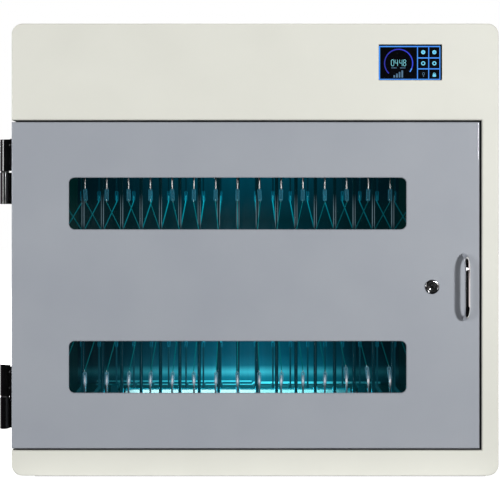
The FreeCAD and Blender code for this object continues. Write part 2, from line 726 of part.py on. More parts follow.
def leaf_screw_seats(side):
    """Return the screw seats on the leaves of one side: -1 is the door, 1 is the cabinet."""
    seats = []
    for middle in hinge_heights:
        z0, z1 = knuckle_span(middle, side)
        for z in (z0 + LEAF_SCREW_INSET, z1 - LEAF_SCREW_INSET):
            seats.append(Vector(left - LEAF, hinge_y + side * LEAF_SCREW_REACH, z))
    return seats


def make_hinge_leaves(side):
    """Return the leaves with their knuckles, one for each hinge, on one side of the joint."""
    near = hinge_y + side * GASKET_SPACE / 2
    far = near + side * LEAF_REACH
    root = hinge_y + side * (BARREL_RADIUS + LEAF_ROOT)
    leaves = []
    for middle in hinge_heights:
        z0, z1 = knuckle_span(middle, side)
        corners = [Vector(left, near, z0), Vector(left, far, z0), Vector(left - LEAF, far, z0),
                   Vector(left - LEAF, root, z0), Vector(hinge_x, hinge_y + side * BARREL_RADIUS, z0),
                   Vector(hinge_x, near, z0), Vector(left, near, z0)]
        plate = Part.Face(Part.makePolygon(corners)).extrude(Vector(0, 0, z1 - z0))
        barrel = cylinder(Vector(hinge_x, hinge_y, z0), Vector(hinge_x, hinge_y, z1), BARREL_RADIUS)
        leaf = plate.fuse(barrel)
        bore = cylinder(Vector(hinge_x, hinge_y, middle - HINGE_HEIGHT / 2 + HINGE_PIN_STOP),
                        Vector(hinge_x, hinge_y, middle + HINGE_HEIGHT / 2 - HINGE_PIN_STOP),
                        HINGE_PIN_RADIUS + RUNNING_CLEARANCE)
        leaf = leaf.cut(bore)
        for seat in leaf_screw_seats(side):
            leaf = leaf.cut(screw_hole(seat, (1, 0, 0), LEAF * 2))
        leaves.append(leaf.removeSplitter())
    return leaves


def make_hinge_pins():
    """Return the pins and the washers that the door's knuckles ride on."""
    pins = []
    washers = []
    for middle in hinge_heights:
        half = HINGE_HEIGHT / 2 - HINGE_PIN_STOP
        pins.append(cylinder(Vector(hinge_x, hinge_y, middle - half),
                             Vector(hinge_x, hinge_y, middle + half), HINGE_PIN_RADIUS))
        low = Vector(hinge_x, hinge_y, middle - WASHER / 2)
        high = Vector(hinge_x, hinge_y, middle + WASHER / 2)
        washers.append(prism(WASHER_SIDES, 2 * WASHER_RADIUS, low, high).cut(
            prism(WASHER_SIDES, 2 * (HINGE_PIN_RADIUS + RUNNING_CLEARANCE), low, high)))
    return {"hinge_pins": pins, "hinge_washers": washers}


def window_pane(name, grow, y0, y1):
    """Return a square-cornered plate over one window, larger than it by a margin."""
    middle = window_centres[name]
    sides = (window_left - grow, window_right + grow, y0, y1,
             middle - WINDOW_HEIGHT / 2 - grow, middle + WINDOW_HEIGHT / 2 + grow)
    return block(*sides)


def window_cut(name, grow, y0, y1):
    """Return the tool for one window's round-cornered cut-out, larger than it by a margin."""
    middle = window_centres[name]
    return rounded_plate(window_left - grow, window_right + grow, middle - WINDOW_HEIGHT / 2 - grow,
                         middle + WINDOW_HEIGHT / 2 + grow, WINDOW_RADIUS, y0, y1)


def handle_ends():
    """Return the two points where the handle meets the door."""
    return [Vector(handle_x, 0, lock_z + sign * HANDLE_CENTRES / 2) for sign in (-1, 1)]


def make_door():
    """Return the grey door: folded pan, inner panel, windows and their frames."""
    pan = block(left, door_right, 0, DOOR_DEPTH, door_bottom, door_top)
    pan = pan.makeFillet(EDGE_ROUND, edges_at_depth(pan, 0))
    hollow = block(left + SHEET, door_right - SHEET, SHEET, DOOR_DEPTH + SHEET,
                   door_bottom + SHEET, door_top - SHEET)
    pan = pan.cut(hollow)
    inner = block(left + SHEET, door_right - SHEET, inner_panel_front, DOOR_DEPTH,
                  door_bottom + SHEET, door_top - SHEET)
    pieces = {"window_frames": []}
    for name in window_centres:
        pan = pan.cut(window_cut(name, 0, -SHEET, 2 * SHEET))
        inner = inner.cut(window_cut(name, WINDOW_SETBACK, inner_panel_front - SHEET, DOOR_DEPTH + SHEET))
        pieces[name] = [window_pane(name, WINDOW_LAP, SHEET, SHEET + GLAZING)]
        ring = window_pane(name, WINDOW_LAP, SHEET + GLAZING, inner_panel_front)
        pieces["window_frames"].append(ring.cut(window_cut(name, WINDOW_SETBACK, 0, DOOR_DEPTH)))
    rims = [edge for edge in edges_at_depth(pan, 0)
            if window_left - 1 < edge.BoundBox.XMin and edge.BoundBox.XMax < window_right + 1]
    pan = pan.makeChamfer(WINDOW_EDGE_BEVEL, rims)
    lock_hole = cylinder(Vector(lock_x, -SHEET, lock_z), Vector(lock_x, DOOR_DEPTH + SHEET, lock_z),
                         LOCK_BARREL_RADIUS + SCREW_CLEARANCE)
    pan = pan.cut(lock_hole)
    for seat in handle_ends():
        pan = pan.cut(screw_hole(seat, (0, 1, 0), SHEET * 2))
    for seat in leaf_screw_seats(-1):
        pan = pan.cut(screw_hole(seat, (1, 0, 0), LEAF + SHEET * 3))
    pieces["door_panel"] = [pan]
    pieces["door_inner_panel"] = [inner.cut(lock_hole)]
    return pieces


def make_gasket():
    """Return the seal on the bulkhead round the door opening."""
    x0 = left + SHEET
    x1 = opening_right - FIT
    z0 = opening_bottom + FIT
    z1 = opening_top - FIT
    y0 = DOOR_DEPTH + FIT
    ring = block(x0, x1, y0, frame_depth, z0, z1)
    return ring.cut(block(x0 + GASKET_WIDTH, x1 - GASKET_WIDTH, y0 - FIT, frame_depth + FIT,
                          z0 + GASKET_WIDTH, z1 - GASKET_WIDTH))


def make_handle():
    """Return the bent rod of the handle, tapped at both ends."""
    low, high = handle_ends()
    reach = HANDLE_REACH - HANDLE_RADIUS
    sag = HANDLE_BEND * (1 - math.sqrt(0.5))
    front = Vector(0, -reach, 0)
    rise = Vector(0, 0, HANDLE_BEND)
    setback = Vector(0, HANDLE_BEND, 0)
    low_arc = [low + front + setback, low + front + Vector(0, sag, sag), low + front + rise]
    high_arc = [high + front - rise, high + front + Vector(0, sag, -sag), high + front + setback]
    path = Part.Wire([Part.makeLine(low, low_arc[0]), Part.Arc(*low_arc).toShape(),
                      Part.makeLine(low_arc[2], high_arc[0]), Part.Arc(*high_arc).toShape(),
                      Part.makeLine(high_arc[2], high)])
    section = Part.Wire(Part.makeCircle(HANDLE_RADIUS, low, Vector(0, 1, 0)))
    rod = path.makePipeShell([section], True, False)
    for seat in (low, high):
        rod = rod.cut(prism(6, 2 * hole_radius, seat, seat - Vector(0, HANDLE_SCREW_GRIP, 0)))
    return rod


def make_lock():
    """Return the cam lock: housing, nut, turning plug and cam."""
    def on_axis(y):
        return Vector(lock_x, y, lock_z)
    face = cylinder(on_axis(-LOCK_FACE), on_axis(0), LOCK_FACE_RADIUS)
    face = face.makeChamfer(LOCK_FACE_BEVEL, edges_at_depth(face, -LOCK_FACE))
    barrel_back = cam_front - FIT
    housing = face.fuse(cylinder(on_axis(0), on_axis(barrel_back), LOCK_BARREL_RADIUS))
    bore = cylinder(on_axis(-LOCK_FACE), on_axis(barrel_back), LOCK_PLUG_RADIUS + RUNNING_CLEARANCE)
    housing = housing.cut(bore).removeSplitter()
    nut = prism(6, LOCK_NUT_FLATS, on_axis(DOOR_DEPTH), on_axis(DOOR_DEPTH + LOCK_NUT))
    nut = nut.cut(cylinder(on_axis(DOOR_DEPTH), on_axis(DOOR_DEPTH + LOCK_NUT),
                           LOCK_BARREL_RADIUS + RUNNING_CLEARANCE))
    plug_front = LOCK_PLUG_RECESS - LOCK_FACE
    plug = cylinder(on_axis(plug_front), on_axis(cam_front), LOCK_PLUG_RADIUS)
    half = CAM_SQUARE / 2
    plug = plug.fuse(block(lock_x - half, lock_x + half, cam_front, cam_back, lock_z - half, lock_z + half))
    keyway = block(lock_x - KEYWAY_WIDTH / 2, lock_x + KEYWAY_WIDTH / 2, plug_front - SHEET,
                   plug_front + KEYWAY_DEPTH, lock_z - KEYWAY_HEIGHT / 2, lock_z + KEYWAY_HEIGHT / 2)
    keyway.rotate(on_axis(0), Vector(0, 1, 0), KEYWAY_TILT)
    plug = plug.cut(keyway)
    cam_half = CAM_WIDTH / 2
    cam = rounded_plate(lock_x - cam_half, lock_x + cam_half, lock_z - cam_half, lock_z + cam_length,
                        cam_half - SCREW_CLEARANCE, cam_front, cam_back)
    cam = cam.cut(block(lock_x - half, lock_x + half, cam_front - SHEET, cam_back + SHEET,
                        lock_z - half, lock_z + half))
    cam_screw = cylinder(on_axis(cam_back), on_axis(cam_back + SCREW_HEAD), half * math.sqrt(2))
    return {"lock_housing": [housing], "lock_nut": [nut], "lock_plug": [plug], "lock_cam": [cam],
            "cam_screw": [cam_screw]}


def make_door_switch():
    """Return the flat switch on the bulkhead and the magnet inside the door."""
    z0 = sensor_z - SENSOR_HEIGHT / 2
    z1 = sensor_z + SENSOR_HEIGHT / 2
    switch = block(sensor_x, sensor_x + SENSOR_WIDTH, frame_depth - SENSOR_DEPTH, frame_depth, z0, z1)
    magnet = block(sensor_x, sensor_x + SENSOR_WIDTH, inner_panel_front - MAGNET_DEPTH,
                   inner_panel_front, z0, z1)
    return {"door_switch": [switch], "door_magnet": [magnet]}


def make_screws():
    """Return the groups of screws."""
    through = SHEET + SCREW_GRIP
    return {
        "rear_panel_screws": [screw(seat, (0, -1, 0), through) for seat in panel_screw_seats()],
        "fan_screws": [screw(seat, (0, -1, 0), through) for seat in fan_screw_seats()],
        "hinge_body_screws": [screw(seat, (1, 0, 0), LEAF + through) for seat in leaf_screw_seats(1)],
        "hinge_door_screws": [screw(seat, (1, 0, 0), LEAF + through) for seat in leaf_screw_seats(-1)],
        "handle_screws": [screw(seat + Vector(0, SHEET, 0), (0, -1, 0), SHEET + HANDLE_SCREW_GRIP)
                          for seat in handle_ends()],
    }


def make_cabinet():
    """Return every piece by name, each as a list of solids."""
    pieces = {
        "front_frame": [make_front_frame()],
        "body_wrap": [make_body_wrap()],
        "rear_panel": [make_rear_panel()],
        "front_bulkhead": [make_front_bulkhead()],
        "base_channels": make_base_channels(),
        "door_gasket": [make_gasket()],
        "fan_frame": [make_fan_frame()],
        "fan_rotor": [make_fan_rotor()],
        "hinge_body_leaves": make_hinge_leaves(1),
        "hinge_door_leaves": make_hinge_leaves(-1),
        "handle": [make_handle()],
    }
    pieces.update({name: [sheet] for name, sheet in make_chamber().items()})
    for group in (make_dividers(), make_lamp(), make_charging_strip(), make_display(), make_supplies(),
                  make_inlet(), make_hinge_pins(), make_door(), make_lock(), make_door_switch(),
                  make_screws()):
        pieces.update(group)
    return pieces


def export(pieces):
    """Move the origin to the middle of the underside and write one file for each piece."""
    os.makedirs("parts", exist_ok=True)
    compounds = {name: Part.makeCompound(solids) for name, solids in pieces.items()}
    overall = FreeCAD.BoundBox()
    for compound in compounds.values():
        overall.add(compound.optimalBoundingBox(False, False))
    shift = Vector(-overall.Center.x, -overall.Center.y, -overall.ZMin)
    for name, compound in compounds.items():
        compound.translate(shift)
        compound.exportStep("parts/" + name + ".step")
    print("shift", shift, "size", overall.XLength, overall.YLength, overall.ZLength)


export(make_cabinet())
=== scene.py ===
import json
import math
import random

import bmesh
import bpy
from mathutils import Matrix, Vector


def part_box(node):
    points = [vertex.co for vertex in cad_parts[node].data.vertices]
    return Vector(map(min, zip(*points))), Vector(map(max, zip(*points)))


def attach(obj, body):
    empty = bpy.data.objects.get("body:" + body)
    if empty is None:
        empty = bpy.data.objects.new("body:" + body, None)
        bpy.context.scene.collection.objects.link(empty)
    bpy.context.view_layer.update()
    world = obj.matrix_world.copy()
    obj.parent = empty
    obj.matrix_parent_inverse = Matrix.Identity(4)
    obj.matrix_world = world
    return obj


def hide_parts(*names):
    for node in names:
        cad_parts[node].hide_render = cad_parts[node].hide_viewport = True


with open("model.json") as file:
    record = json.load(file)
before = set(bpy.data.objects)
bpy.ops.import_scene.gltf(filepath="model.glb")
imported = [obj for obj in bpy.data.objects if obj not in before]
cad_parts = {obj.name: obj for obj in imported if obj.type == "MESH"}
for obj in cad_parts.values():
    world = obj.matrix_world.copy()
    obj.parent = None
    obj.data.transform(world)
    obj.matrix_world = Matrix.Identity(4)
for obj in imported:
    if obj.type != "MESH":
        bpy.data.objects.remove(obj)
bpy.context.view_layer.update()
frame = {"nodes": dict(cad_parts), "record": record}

nodes = frame["nodes"]
scene = bpy.context.scene
scene.view_settings.view_transform = "Standard"

front_low, front_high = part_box("front_frame")
wall_low, wall_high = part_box("chamber_back_wall")
MIDDLE = (front_low[0] + front_high[0]) / 2
FRONT = front_low[1]


# Camera, level and square to the front

SENSOR_WIDTH = 36.0
CAMERA_DISTANCE = 1.4    # from the front face
CAMERA_LEFT = 0.0217     # from the middle of the front
CAMERA_HEIGHT = 0.4134
VIEW_WIDTH = 0.7485      # what the picture's width covers at the front face
SHIFT_X, SHIFT_Y = 0.0187, -0.1

camera_data = bpy.data.cameras.new("camera")
camera_data.sensor_width = SENSOR_WIDTH
camera_data.lens = SENSOR_WIDTH * CAMERA_DISTANCE / VIEW_WIDTH
camera_data.shift_x = SHIFT_X
camera_data.shift_y = SHIFT_Y
camera = bpy.data.objects.new("camera", camera_data)
camera.location = (MIDDLE - CAMERA_LEFT, FRONT - CAMERA_DISTANCE, CAMERA_HEIGHT)
camera.rotation_euler = (math.radians(90.0), 0.0, 0.0)
scene.collection.objects.link(camera)
scene.camera = camera


# Material helpers

EVEN = (1.0, 1.0, 1.0)    # how a noise is stretched on each axis
BRUSHED = (1.0, 1.0, 0.04)
DRAWN = (1.0, 1.0, 0.05)
STREAKED = (1.0, 1.0, 0.02)
STREAK_SCALE = 60.0
GRAIN_DEPTH = 0.0002
COAT_ROUGHNESS = 0.06
CLEAR_PLASTIC_IOR = 1.49


def rgb(red, green, blue):
    return (red, green, blue, 1.0)


def grey(value):
    return rgb(value, value, value)


def srgb(red, green, blue):
    """Linear colour from sRGB values of 0 to 255."""
    def linear(value):
        value /= 255.0
        return value / 12.92 if value <= 0.04045 else ((value + 0.055) / 1.055) ** 2.4
    return rgb(linear(red), linear(green), linear(blue))


def new_material(name):
    material = bpy.data.materials.new(name)
    material.use_nodes = True
    return material


def shader_of(material):
    return material.node_tree.nodes["Principled BSDF"]


def noise(tree, scale, stretch=EVEN, detail=3.0):
    coords = tree.nodes.new("ShaderNodeTexCoord")
    mapping = tree.nodes.new("ShaderNodeMapping")
    mapping.inputs["Scale"].default_value = stretch
    texture = tree.nodes.new("ShaderNodeTexNoise")
    texture.inputs["Scale"].default_value = scale
    texture.inputs["Detail"].default_value = detail
    tree.links.new(coords.outputs["Object"], mapping.inputs["Vector"])
    tree.links.new(mapping.outputs["Vector"], texture.inputs["Vector"])
    return texture.outputs["Fac"]


def ramp(tree, factor, stops):
    node = tree.nodes.new("ShaderNodeValToRGB")
    elements = node.color_ramp.elements
    while len(elements) < len(stops):
        elements.new(0.5)
    for element, (position, colour) in zip(elements, stops):
        element.position = position
        element.color = colour
    tree.links.new(factor, node.inputs["Fac"])
    return node.outputs["Color"]


def drift(tree, factor, low, high):
    """A ramp between two colours over the middle of a noise."""
    return ramp(tree, factor, [(0.3, low), (0.7, high)])


def scaled(tree, value, low, high):
    """A value as 0 to 1 between two limits."""
    span = tree.nodes.new("ShaderNodeMapRange")
    span.inputs["From Min"].default_value = low
    span.inputs["From Max"].default_value = high
    tree.links.new(value, span.inputs["Value"])
    return span.outputs["Result"]


def part_of(tree, vector, axis):
    split = tree.nodes.new("ShaderNodeSeparateXYZ")
    tree.links.new(vector, split.inputs["Vector"])
    return split.outputs[axis]


def along(tree, axis, low, high, stops):
    """A ramp over the object's own places from low to high on one axis."""
    coords = tree.nodes.new("ShaderNodeTexCoord")
    return ramp(tree, scaled(tree, part_of(tree, coords.outputs["Object"], axis), low, high), stops)


def normal(tree, kind, axis):
    """One part of the direction that the surface looks in, smooth or true."""
    geometry = tree.nodes.new("ShaderNodeNewGeometry")
    return part_of(tree, geometry.outputs[kind], axis)


def mixed(tree, first_colour, second_colour, kind="MULTIPLY"):
    mix = tree.nodes.new("ShaderNodeMix")
    mix.data_type = "RGBA"
    mix.blend_type = kind
    mix.inputs["Factor"].default_value = 1.0
    tree.links.new(first_colour, mix.inputs["A"])
    tree.links.new(second_colour, mix.inputs["B"])
    return mix.outputs["Result"]


def blend_in(material, socket, colour, kind):
    """Mix a colour with what already feeds a socket of the shader."""
    tree = material.node_tree
    target = shader_of(material).inputs[socket]
    tree.links.new(mixed(tree, target.links[0].from_socket, colour, kind), target)


def finish(name, dark, light, rough, metal=0.0, patch=9.0, grain=900.0, bump=0.05, stretch=EVEN, coat=0.0):
    """A material whose colour drifts in soft patches and whose surface has a fine grain."""
    material = new_material(name)
    tree = material.node_tree
    shader = shader_of(material)
    tree.links.new(drift(tree, noise(tree, patch, stretch), dark, light), shader.inputs["Base Color"])
    fine = noise(tree, grain, stretch, 2.0)
    low, high = rough
    tree.links.new(drift(tree, fine, grey(low), grey(high)), shader.inputs["Roughness"])
    shader.inputs["Metallic"].default_value = metal
    shader.inputs["Coat Weight"].default_value = coat
    shader.inputs["Coat Roughness"].default_value = COAT_ROUGHNESS
    if bump:
        relief = tree.nodes.new("ShaderNodeBump")
        relief.inputs["Strength"].default_value = bump
        relief.inputs["Distance"].default_value = GRAIN_DEPTH
        tree.links.new(fine, relief.inputs["Height"])
        tree.links.new(relief.outputs["Normal"], shader.inputs["Normal"])
    return material


def coated(name, dark, light, rough, **more):
    """Paint or plastic between two sRGB colours."""
    return finish(name, srgb(*dark), srgb(*light), rough, **more)


def steel(name, dark, light, rough, **more):
    """Metal between two linear colours."""
    return finish(name, rgb(*dark), rgb(*light), rough, metal=1.0, **more)


def lit_surface(name, strength):
    """A dark surface that gives off light; its colour of light is still to be linked."""
    material = new_material(name)
    shader = shader_of(material)
    shader.inputs["Base Color"].default_value = grey(0.01)
    shader.inputs["Roughness"].default_value = 0.5
    shader.inputs["Specular IOR Level"].default_value = 0.1
    shader.inputs["Emission Strength"].default_value = strength
    return material


def glow(name, colour, strength, second, patch=60.0):
    """A lit surface, a little uneven between two colours."""
    material = lit_surface(name, strength)
    tree = material.node_tree
    tree.links.new(drift(tree, noise(tree, patch), second, colour),
                   shader_of(material).inputs["Emission Color"])
    return material


def clear_pane(name, colour, rough, alpha=1.0):
    """Thin clear sheet: what is behind it shows, and its faces reflect."""
    material = finish(name, colour, colour, rough, patch=6.0, grain=40.0, bump=0.0)
    shader_of(material).inputs["Alpha"].default_value = alpha
    shader_of(material).inputs["IOR"].default_value = CLEAR_PLASTIC_IOR
    return material


def clear_sleeve(name, colour):
    """Soft clear tube, which shows more at its outline."""
    material = clear_pane(name, colour, (0.12, 0.22))
    tree = material.node_tree
    shader_of(material).inputs["Specular IOR Level"].default_value = 0.15
    edges = tree.nodes.new("ShaderNodeLayerWeight")
    edges.inputs["Blend"].default_value = 0.4
    tree.links.new(ramp(tree, edges.outputs["Facing"], [(0.12, grey(0.22)), (0.6, grey(0.95))]),
                   shader_of(material).inputs["Alpha"])
    return material


# Materials

# The chamber's steel is painted dark, as shade inside the closed chamber, and the back wall's copy darker
# still; both take painted lamp light below
lining = steel("lining_steel", (0.06, 0.075, 0.08), (0.09, 0.11, 0.115), (0.30, 0.42),
               patch=30.0, grain=160.0, bump=0.02, stretch=BRUSHED)
back_lining = steel("lining_steel_back", (0.03, 0.042, 0.046), (0.05, 0.066, 0.07), (0.30, 0.42),
                    patch=30.0, grain=160.0, bump=0.02, stretch=BRUSHED)
# Steel of the folds at the wall's foot, which carries a painted reflection of the lamp
fold_reflection_steel = steel("fold_reflection_steel", (0.3, 0.32, 0.32), (0.36, 0.38, 0.38), (0.2, 0.3))
rod_steel = steel("rod_steel", (0.66, 0.66, 0.68), (0.76, 0.76, 0.78), (0.11, 0.17),
                  patch=80.0, grain=700.0, bump=0.02, stretch=DRAWN)
post_steel = steel("post_steel", (0.70, 0.69, 0.69), (0.80, 0.79, 0.79), (0.30, 0.42),
                   patch=80.0, grain=700.0, bump=0.02, stretch=DRAWN)
# A dark copy of the post steel for the rear posts: painted shade, with painted lamp light below
shaded_rear_steel = steel("shaded_rear_steel", (0.02, 0.03, 0.033), (0.03, 0.042, 0.045), (0.3, 0.42),
                   patch=80.0, grain=700.0, bump=0.02, stretch=DRAWN)
wire_steel = steel("wire_steel", (0.46, 0.50, 0.51), (0.56, 0.60, 0.61), (0.16, 0.26),
                   patch=80.0, grain=700.0, bump=0.02)
lock_steel = steel("lock_steel", (0.40, 0.40, 0.41), (0.50, 0.50, 0.50), (0.08, 0.14),
                   patch=400.0, grain=1500.0, bump=0.03)
chrome = steel("chrome", (0.70, 0.70, 0.72), (0.78, 0.78, 0.79), (0.05, 0.09),
               patch=50.0, grain=400.0, bump=0.01)
# Black plastic for the lamp holders, tinted and lit with painted lamp light
holder_black = coated("holder_black", (16, 20, 21), (24, 28, 30), (0.42, 0.55), bump=0.1)
rubber = coated("seal_rubber", (13, 13, 14), (19, 19, 20), (0.55, 0.68), bump=0.1)
lamp_glass = glow("lamp_glass", rgb(0.62, 1.0, 1.0), 3.6, rgb(0.56, 0.98, 1.0))
lamp_shell = clear_pane("lamp_shell", srgb(40, 150, 170), (0.3, 0.4), 0.3)
shader_of(lamp_shell).inputs["Emission Color"].default_value = srgb(30, 190, 215)
shader_of(lamp_shell).inputs["Emission Strength"].default_value = 0.55
sleeve = clear_sleeve("clear_sleeve", srgb(84, 156, 178))
# A lighter copy of the sleeve material for the lower front sleeves: painted light from the lamp
lamp_lit_sleeve = clear_sleeve("clear_sleeve_lamp_lit", srgb(150, 186, 200))

slots = {
    "cream_paint": coated("cream_paint", (224, 224, 214), (228, 228, 218), (0.5, 0.6), grain=700.0,
                          bump=0.06),
    "grey_paint": coated("grey_paint", (157, 162, 171), (162, 167, 175), (0.5, 0.6), grain=700.0, bump=0.07,
                         coat=0.5),
    "dark_paint": coated("dark_paint", (34, 36, 39), (44, 46, 49), (0.5, 0.62), grain=600.0, bump=0.08),
    "lining_steel": lining,
    "plated_steel": steel("plated_steel", (0.46, 0.46, 0.45), (0.56, 0.56, 0.55), (0.28, 0.4),
                          patch=40.0, grain=500.0, bump=0.03),
    "rod_steel": rod_steel,
    "clear_sleeve": sleeve,
    "glazing": clear_pane("glazing", srgb(3, 9, 10), (0.02, 0.05), 0.25),
    "lamp_glass": lamp_glass,
    "lamp_metal": steel("lamp_metal", (0.66, 0.67, 0.68), (0.76, 0.77, 0.78), (0.2, 0.3), patch=90.0),
    "white_plastic": coated("white_plastic", (222, 222, 218), (232, 232, 228), (0.38, 0.48), grain=800.0),
    "black_plastic": coated("black_plastic", (17, 17, 18), (24, 24, 26), (0.42, 0.55), bump=0.1),
    "socket_metal": steel("socket_metal", (0.55, 0.54, 0.5), (0.66, 0.65, 0.6), (0.22, 0.32),
                          patch=120.0, bump=0.02),
    "display_black": coated("display_black", (5, 6, 9), (8, 9, 12), (0.05, 0.09), grain=300.0, bump=0.0,
                            coat=0.4),
    "module_metal": steel("module_metal", (0.50, 0.51, 0.52), (0.60, 0.61, 0.62), (0.34, 0.46),
                          patch=25.0, grain=400.0, bump=0.03, stretch=(1.0, 0.06, 1.0)),
    "board_green": coated("board_green", (14, 66, 42), (22, 84, 52), (0.35, 0.45), patch=90.0),
    "black_hinge": coated("black_hinge", (8, 8, 9), (12, 12, 13), (0.11, 0.16), patch=40.0, grain=600.0,
                          coat=0.25),
    "chrome": chrome,
    "screw_steel": steel("screw_steel", (0.46, 0.46, 0.46), (0.58, 0.58, 0.57), (0.24, 0.36),
                         patch=200.0, bump=0.03),
    "seal_rubber": rubber,
    "magnet": steel("magnet", (0.30, 0.30, 0.31), (0.40, 0.40, 0.41), (0.3, 0.42), patch=150.0),
}


# Lamp light painted as glow on the steel and other parts in the chamber, which is brightest low on the back
# wall

def lamplight(material, stops, sides, strength, axis="Z", forward=False):
    """Painted light on a finish, given off as glow: stops of colour along one axis of the chamber, and of
    share across its width.
    With forward, only faces that look to the front are lit."""
    tree = material.node_tree
    start, end = (wall_low[2], wall_high[2]) if axis == "Z" else (FRONT, wall_high[1])
    across = [(place, grey(share)) for place, share in sides]
    light = mixed(tree, along(tree, axis, start, end, stops),
                  along(tree, "X", wall_low[0], wall_high[0], across))
    streaks = drift(tree, noise(tree, STREAK_SCALE, STREAKED), grey(0.78), grey(1.0))
    light = mixed(tree, light, streaks)
    if forward:
        facing = scaled(tree, normal(tree, "True Normal", "Y"), -1.0, 1.0)
        light = mixed(tree, light, ramp(tree, facing, [(0.3, grey(1.0)), (0.5, grey(0.0))]))
    tree.links.new(light, shader_of(material).inputs["Emission Color"])
    shader_of(material).inputs["Emission Strength"].default_value = strength


ACROSS = [(0.0, 0.06), (0.12, 0.12), (0.22, 0.38), (0.42, 1.0), (0.6, 1.0), (0.76, 0.6), (0.86, 0.12),
          (1.0, 0.06)]
lamplight(back_lining,
          [(0.0, srgb(8, 115, 140)), (0.03, srgb(10, 150, 178)), (0.052, srgb(70, 224, 250)),
           (0.08, srgb(4, 118, 145)), (0.13, srgb(0, 90, 115)), (0.7, srgb(0, 34, 43)),
           (0.95, srgb(0, 78, 98))],
          ACROSS, 1.3, forward=True)
lamplight(fold_reflection_steel, [(0.0, srgb(70, 222, 244)), (0.1, srgb(70, 222, 244))], ACROSS, 2.4)
lamplight(lining, [(0.0, srgb(0, 40, 45)), (0.5, srgb(0, 38, 38)), (0.7, srgb(0, 46, 42))],
          [(0.0, 0.5), (0.5, 1.0), (1.0, 0.4)], 1.2)
lamplight(rod_steel,
          [(0.0, srgb(18, 86, 98)), (0.12, srgb(6, 68, 82)), (0.3, srgb(4, 56, 70)),
           (0.6, srgb(0, 38, 46))],
          [(0.0, 0.6), (0.5, 1.0), (1.0, 0.6)], 1.0)
lamplight(shaded_rear_steel, [(0.0, srgb(14, 74, 90)), (0.3, srgb(6, 66, 80)), (0.7, srgb(0, 46, 58))],
          [(0.0, 0.8), (0.5, 1.0), (1.0, 0.7)], 1.2)
lamplight(wire_steel, [(0.1, srgb(0, 118, 122)), (0.5, srgb(0, 128, 138)), (0.9, srgb(8, 190, 212))],
          [(0.0, 0.3), (0.25, 0.6), (0.5, 1.0), (0.75, 0.4), (1.0, 0.16)], 1.4, "Y")
lamplight(sleeve, [(0.1, srgb(46, 118, 141)), (0.9, srgb(0, 120, 147))],
          [(0.0, 0.4), (0.5, 1.0), (1.0, 0.4)], 1.2, "Y")
lamplight(lamp_lit_sleeve, [(0.0, srgb(70, 124, 148)), (1.0, srgb(70, 124, 148))],
          [(0.0, 0.8), (0.5, 1.0), (1.0, 0.7)], 1.0)
# A painted glint of lamp light on each lower post, inside its sleeve
lamplight(post_steel,
          [(0.168, grey(0.0)), (0.179, rgb(0.40, 0.38, 0.40)), (0.187, rgb(1.3, 1.18, 1.2)),
           (0.196, rgb(0.7, 0.65, 0.67)), (0.209, grey(0.0))],
          [(0.0, 0.7), (0.5, 1.0), (1.0, 0.8)], 1.0)
lamplight(holder_black, [(0.0, srgb(0, 75, 90)), (0.1, srgb(0, 60, 70))], [(0.0, 1.0), (1.0, 1.0)], 1.0)

# Painted shade and light in the base colour: the lower parts of the rods are darker, as they stand dark
# before the lamp, and the lower posts take its blue
RACK_SHADE_LOW, RACK_SHADE_HIGH = 0.1, 0.45
for material, stops in (
        (rod_steel, [(0.25, rgb(0.05, 0.07, 0.08)), (0.75, rgb(0.12, 0.15, 0.16))]),
        (post_steel, [(0.2, rgb(0.62, 0.86, 1.0)), (0.6, grey(1.0))])):
    shade = along(material.node_tree, "Z", RACK_SHADE_LOW, RACK_SHADE_HIGH, stops)
    blend_in(material, "Base Color", shade, "MULTIPLY")

# Two painted highlights run down each rod, where daylight through the upper window would draw them
LINES_LOW, LINES_HIGH = 0.35, 0.45
tree = rod_steel.node_tree
either_side = tree.nodes.new("ShaderNodeMath")
either_side.operation = "ABSOLUTE"
tree.links.new(normal(tree, "Normal", "X"), either_side.inputs[0])
pair = ramp(tree, either_side.outputs[0],
            [(0.39, grey(0.0)), (0.54, grey(0.9)), (0.67, grey(0.9)), (0.8, grey(0.12))])
reach = along(tree, "Z", LINES_LOW, LINES_HIGH,
              [(0.12, grey(0.0)), (0.24, rgb(0.27, 0.38, 0.44)), (0.48, rgb(0.25, 0.35, 0.41)),
               (0.74, grey(0.0))])
blend_in(rod_steel, "Emission Color", mixed(tree, pair, reach), "ADD")

# A dim painted light over the upper back wall reaches its corners too
DIM_LOW, DIM_HIGH = 0.30, 0.46
dim_light = along(back_lining.node_tree, "Z", DIM_LOW, DIM_HIGH,
                  [(0.05, grey(0.0)), (0.3, rgb(0.0, 0.008, 0.010)), (0.56, rgb(0.0, 0.008, 0.010)),
                   (0.78, rgb(0.0, 0.004, 0.007)), (1.0, rgb(0.0, 0.003, 0.005))])
blend_in(back_lining, "Emission Color", dim_light, "ADD")

# Each node takes the material of its slot, apart from three with their own
node_materials = {row["node"]: slots[row["material_slot"]] for row in frame["record"]["subparts"]}
node_materials.update(chamber_back_wall=back_lining, lamp_holders=holder_black, lock_plug=lock_steel)
for node, material in node_materials.items():
    nodes[node].data.materials.clear()
    nodes[node].data.materials.append(material)


# Shape helpers

def circle(count):
    """Angles of points spaced evenly round a circle."""
    return [2 * math.pi * step / count for step in range(count)]


def bridge(bm, here, after):
    """Add the faces between two closed rings of points."""
    count = len(here)
    for step in range(count):
        following = (step + 1) % count
        bm.faces.new((here[step], here[following], after[following], after[step]))


